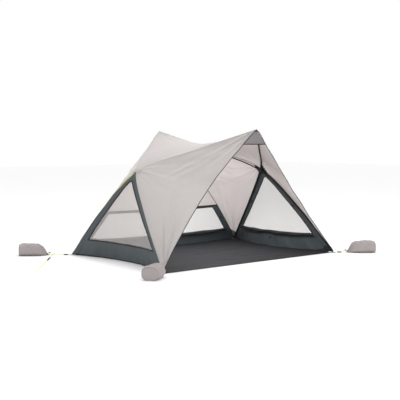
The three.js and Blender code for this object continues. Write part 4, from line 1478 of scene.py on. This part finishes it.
def make_bag(side, end):
    matrix, name = corner_frame(side, end), corner_name(side, end)
    body, neck = "sandbag_" + name, BAG_NECKS[side, end]
    seed = 1.7 * side + 0.9 * end + 3
    bag = bag_mesh("sandbag_cloth_" + name, seed)
    at_neck = matrix @ Matrix.Translation((neck, 0, 0.0003))
    bag.data.transform(at_neck)
    stand_in(bag, "sandbag_" + name, body, "bag_cloth")
    y, z = bag_ring(0.985, bag_profile(0.985), 64, seed)
    rim = np.stack([np.full(64, BAG_LENGTH * 0.988), y * 1.005, np.maximum(z * 1.005, BAG_PIPING)], 1)
    rim = moved(closed(rim), at_neck)
    piping = tube("sandbag_piping_" + name, rim, BAG_PIPING, BAG_TRIM, sides=8, capped=False)
    tie_y, tie_z = bag_ring(0.03, 0.16, 40, seed)
    tie = np.stack([np.full(40, BAG_LENGTH * 0.03), tie_y, tie_z + 0.001], 1)
    tie = moved(closed(tie), at_neck)
    drawcord = tube("sandbag_drawcord_" + name, tie, 0.0020, WEBBING, sides=8, capped=False)
    ride_all(body, "webbing", drawcord)
    ride_all(body, "bag_cloth", piping)
    make_lock(name, matrix, neck)
    if (side, end) not in TETHERED:
        make_strap(name, matrix, neck)


def make_lock(name, matrix, neck):
    """A spring cord lock: a barrel with a button in its end."""
    x, parts = neck - LOCK_FROM_NECK, []
    for part, (start, stop, radius) in LOCK_PARTS.items():
        ends = [placed(matrix, x + at, 0, LOCK_HEIGHT) for at in (start, stop)]
        parts.append(dome_rod(part, *ends, radius, PLASTIC))
    lock = joined("cord_lock_body_" + name, parts)
    stand_in(lock, "cord_lock_" + name, "cord_lock_" + name, "black_plastic")
    make_lock_loop(name, matrix, neck)


def make_lock_loop(name, matrix, neck):
    """The loop of drawcord that comes out of the gathered neck, runs through the lock and turns back."""
    back = [(x, -y, z) for x, y, z in reversed(LOCK_LOOP)]
    corners = LOCK_LOOP + [LOCK_LOOP_TURN] + back
    path = dense(np.array([placed(matrix, neck + x, y, z) for x, y, z in corners]), 120)
    loop = tube("drawcord_loop_" + name, path, LOCK_CORD / 2, WEBBING, sides=10)
    ride_all("sandbag_" + name, "webbing", loop)
    tuple(path[0])
    [tuple(p) for p in path]


def make_strap(name, matrix, neck):
    xs = np.linspace(0.035, neck - 0.0005, 14)
    heights = [0.004 + 0.0015 * math.sin(math.pi * k / 13) for k in range(14)]
    line = np.array([placed(matrix, x, 0, z) for x, z in zip(xs, heights)])
    across = np.broadcast_to(np.array(matrix.to_3x3() @ Vector((0, 1, 0))), line.shape)
    lift = np.broadcast_to(UP, line.shape)
    strap = ribbon("link_strap_body_" + name, line, across, lift, 0.010, WEBBING, 0.0018)
    stand_in(strap, "link_strap_" + name, "sandbag_" + name, "webbing")


for corner in CORNERS:
    make_bag(*corner)

# ---- rolled blinds and toggles ----
BLIND_RADIUS, BLIND_STANDOFF, BLIND_SHARE = 0.021, 0.027, 0.9
BLIND_TIES = (0.04, 0.5, 0.96)  # as shares of the roll's length
TOGGLE_RADIUS, TOGGLE_LENGTH, TOGGLE_STANDOFF = 0.004, 0.026, 0.012
TOGGLE_STRIP_SHARE = 0.66


def surface_normal(surface, s, t, out):
    down = surface(s + 0.01, t) - surface(s - 0.01, t)
    across = surface(s, t + 0.01) - surface(s, t - 0.01)
    normal = unit(np.cross(down, across))
    return normal * np.sign(normal @ np.asarray(out, float))


def make_blind(name, surface, out, window):
    """A blind rolled up along its window's lower edge, bunched by its ties."""
    width = np.linalg.norm(surface(window["bottom"], 1.0) - surface(window["bottom"], 0.0))
    share = window["strip"] / width * BLIND_SHARE
    t = np.linspace(share, 1 - share, 150)
    normals = np.array([surface_normal(surface, window["bottom"], k, out) for k in t])
    line = surface(np.full_like(t, window["bottom"]), t)
    place = (t - t[0]) / (t[-1] - t[0])
    tied = np.min(np.abs(place[:, None] - np.array(BLIND_TIES)[None]), axis=1)
    loose = smooth(tied / 0.14)
    radius = BLIND_RADIUS * (0.72 + 0.22 * loose + 0.05 * np.sin(17 * place + 1))
    radius *= smooth(np.minimum(place, 1 - place) / 0.012 + 0.45)
    line = line - normals * (BLIND_STANDOFF * 0.92) - UP * (0.006 * loose)[:, None]
    roll = tube("rolled_blind_cloth_" + name, line, radius, BLIND, sides=28, hint=normals)
    twist_folds(roll, len(t), 28, name)
    stand_in(roll, "rolled_blind_" + name, "shelter", "blind_cloth")
    for k in BLIND_TIES:
        i = int(k * (len(t) - 1))
        path = line[i] + unit(line[i + 1] - line[i - 1]) * np.linspace(-0.006, 0.006, 5)[:, None]
        tie_name = f"blind_tie_{name}_{int(k * 100)}"
        tie = tube(tie_name, path, radius[i] + 0.0012, WEBBING, sides=24, hint=normals[i])
        ride_all("shelter", "webbing", tie)


def twist_folds(obj, count, sides, name):
    """Winds shallow folds round a roll, so that it reads as rolled cloth."""
    co = np.array([v.co for v in obj.data.vertices]).reshape(count, sides, 3)
    centre = co.mean(axis=1, keepdims=True)
    along = np.arange(count)[:, None] / count
    round_it = np.arange(sides)[None] / sides * 2 * math.pi
    grow = 1 + 0.07 * np.sin(2 * round_it + 26 * along + len(name)) + 0.05 * np.sin(5 * round_it - 31 * along)
    co = centre + (co - centre) * grow[..., None]
    for vertex, place in zip(obj.data.vertices, co.reshape(-1, 3)):
        vertex.co = place


def make_toggles(name, surface, out, window):
    middle = (window["top"] + window["bottom"]) / 2
    width = np.linalg.norm(surface(middle, 1.0) - surface(middle, 0.0))
    beside = window["strip"] * TOGGLE_STRIP_SHARE / width
    labels = ("left", "right") if name == "rear" else ("front", "rear")
    low = window["bottom"] + (1 - window["bottom"]) * 0.4
    spots = ((labels[0], middle, beside), (labels[1], middle, 1 - beside), ("lower", low, 0.5))
    for label, s, t in spots:
        normal = surface_normal(surface, s, t, out)
        along = unit(surface(s + 0.02, t) - surface(s - 0.02, t))
        centre = surface(s, t) - normal * TOGGLE_STANDOFF
        half = TOGGLE_LENGTH / 2
        barrel = dome_rod("barrel", centre - along * half, centre + along * half, TOGGLE_RADIUS, PLASTIC)
        waist = tube("waist", centre + along * np.linspace(-0.003, 0.003, 5)[:, None], 0.0046, PLASTIC)
        stem = tube("stem", np.linspace(surface(s, t) - normal * 0.0035, centre, 5), 0.0021, PLASTIC)
        toggle = joined(f"toggle_body_{name}_{label}", [barrel, waist, stem])
        stand_in(toggle, f"toggle_{name}_{label}", f"toggle_{name}_{label}", "black_plastic")
        on_wall = surface(s, t) - normal * 0.0024
        loop = torus(f"toggle_patch_{name}_{label}", on_wall, normal, 0.006, 0.0012, WEBBING)
        ride_all("shelter", "webbing", loop)


WINDOWS = [
    ("left", side_surface(LEFT), (LEFT, 0, 0.3), SIDE_WINDOW),
    ("right", side_surface(RIGHT), (RIGHT, 0, 0.3), SIDE_WINDOW),
    ("rear", rear_surface, (0, REAR, 0), REAR_WINDOW),
]
for spec in WINDOWS:
    make_blind(*spec)
    make_toggles(*spec)


# ---- stage ----
LIGHTS_AIM = (0, 0, 0.6)
LIGHTS = {  # place, size in metres and power in watts
    "key": ((1.0, 1.5, 7.0), 4.0, 160),
    "front": ((0.5, -6.5, 2.2), 3.0, 60),
    "inside_fill": ((0, -0.1, 1.0), 0.7, 13),
}


def make_stage():
    bpy.ops.mesh.primitive_plane_add(size=60, location=(0, 0, 0))
    floor = bpy.context.object
    floor.name = "studio_floor"
    n = Nodes("studio_floor", 0.9)
    n.color(n.ramp(n.noise(1.5, 2), [(0.3, srgb(250, 250, 250)), (0.7, srgb(252, 252, 252))]))
    floor.data.materials.append(n.material)
    world = bpy.data.worlds.new("studio")
    world.use_nodes = True
    background = world.node_tree.nodes["Background"].inputs
    background["Color"].default_value = (1, 1, 1, 1)
    background["Strength"].default_value = 1.0
    bpy.context.scene.world = world
    for name, settings in LIGHTS.items():
        add_light(name, *settings)
    bpy.context.scene.view_settings.view_transform = "Standard"


def add_light(name, place, size, power):
    data = bpy.data.lights.new(name, "AREA")
    data.size, data.energy = size, power
    light = linked(name, data)
    light.location = place
    light.rotation_mode = "QUATERNION"
    light.rotation_quaternion = (Vector(LIGHTS_AIM) - Vector(place)).to_track_quat("-Z", "Y")


make_stage()

bpy.context.view_layer.update()
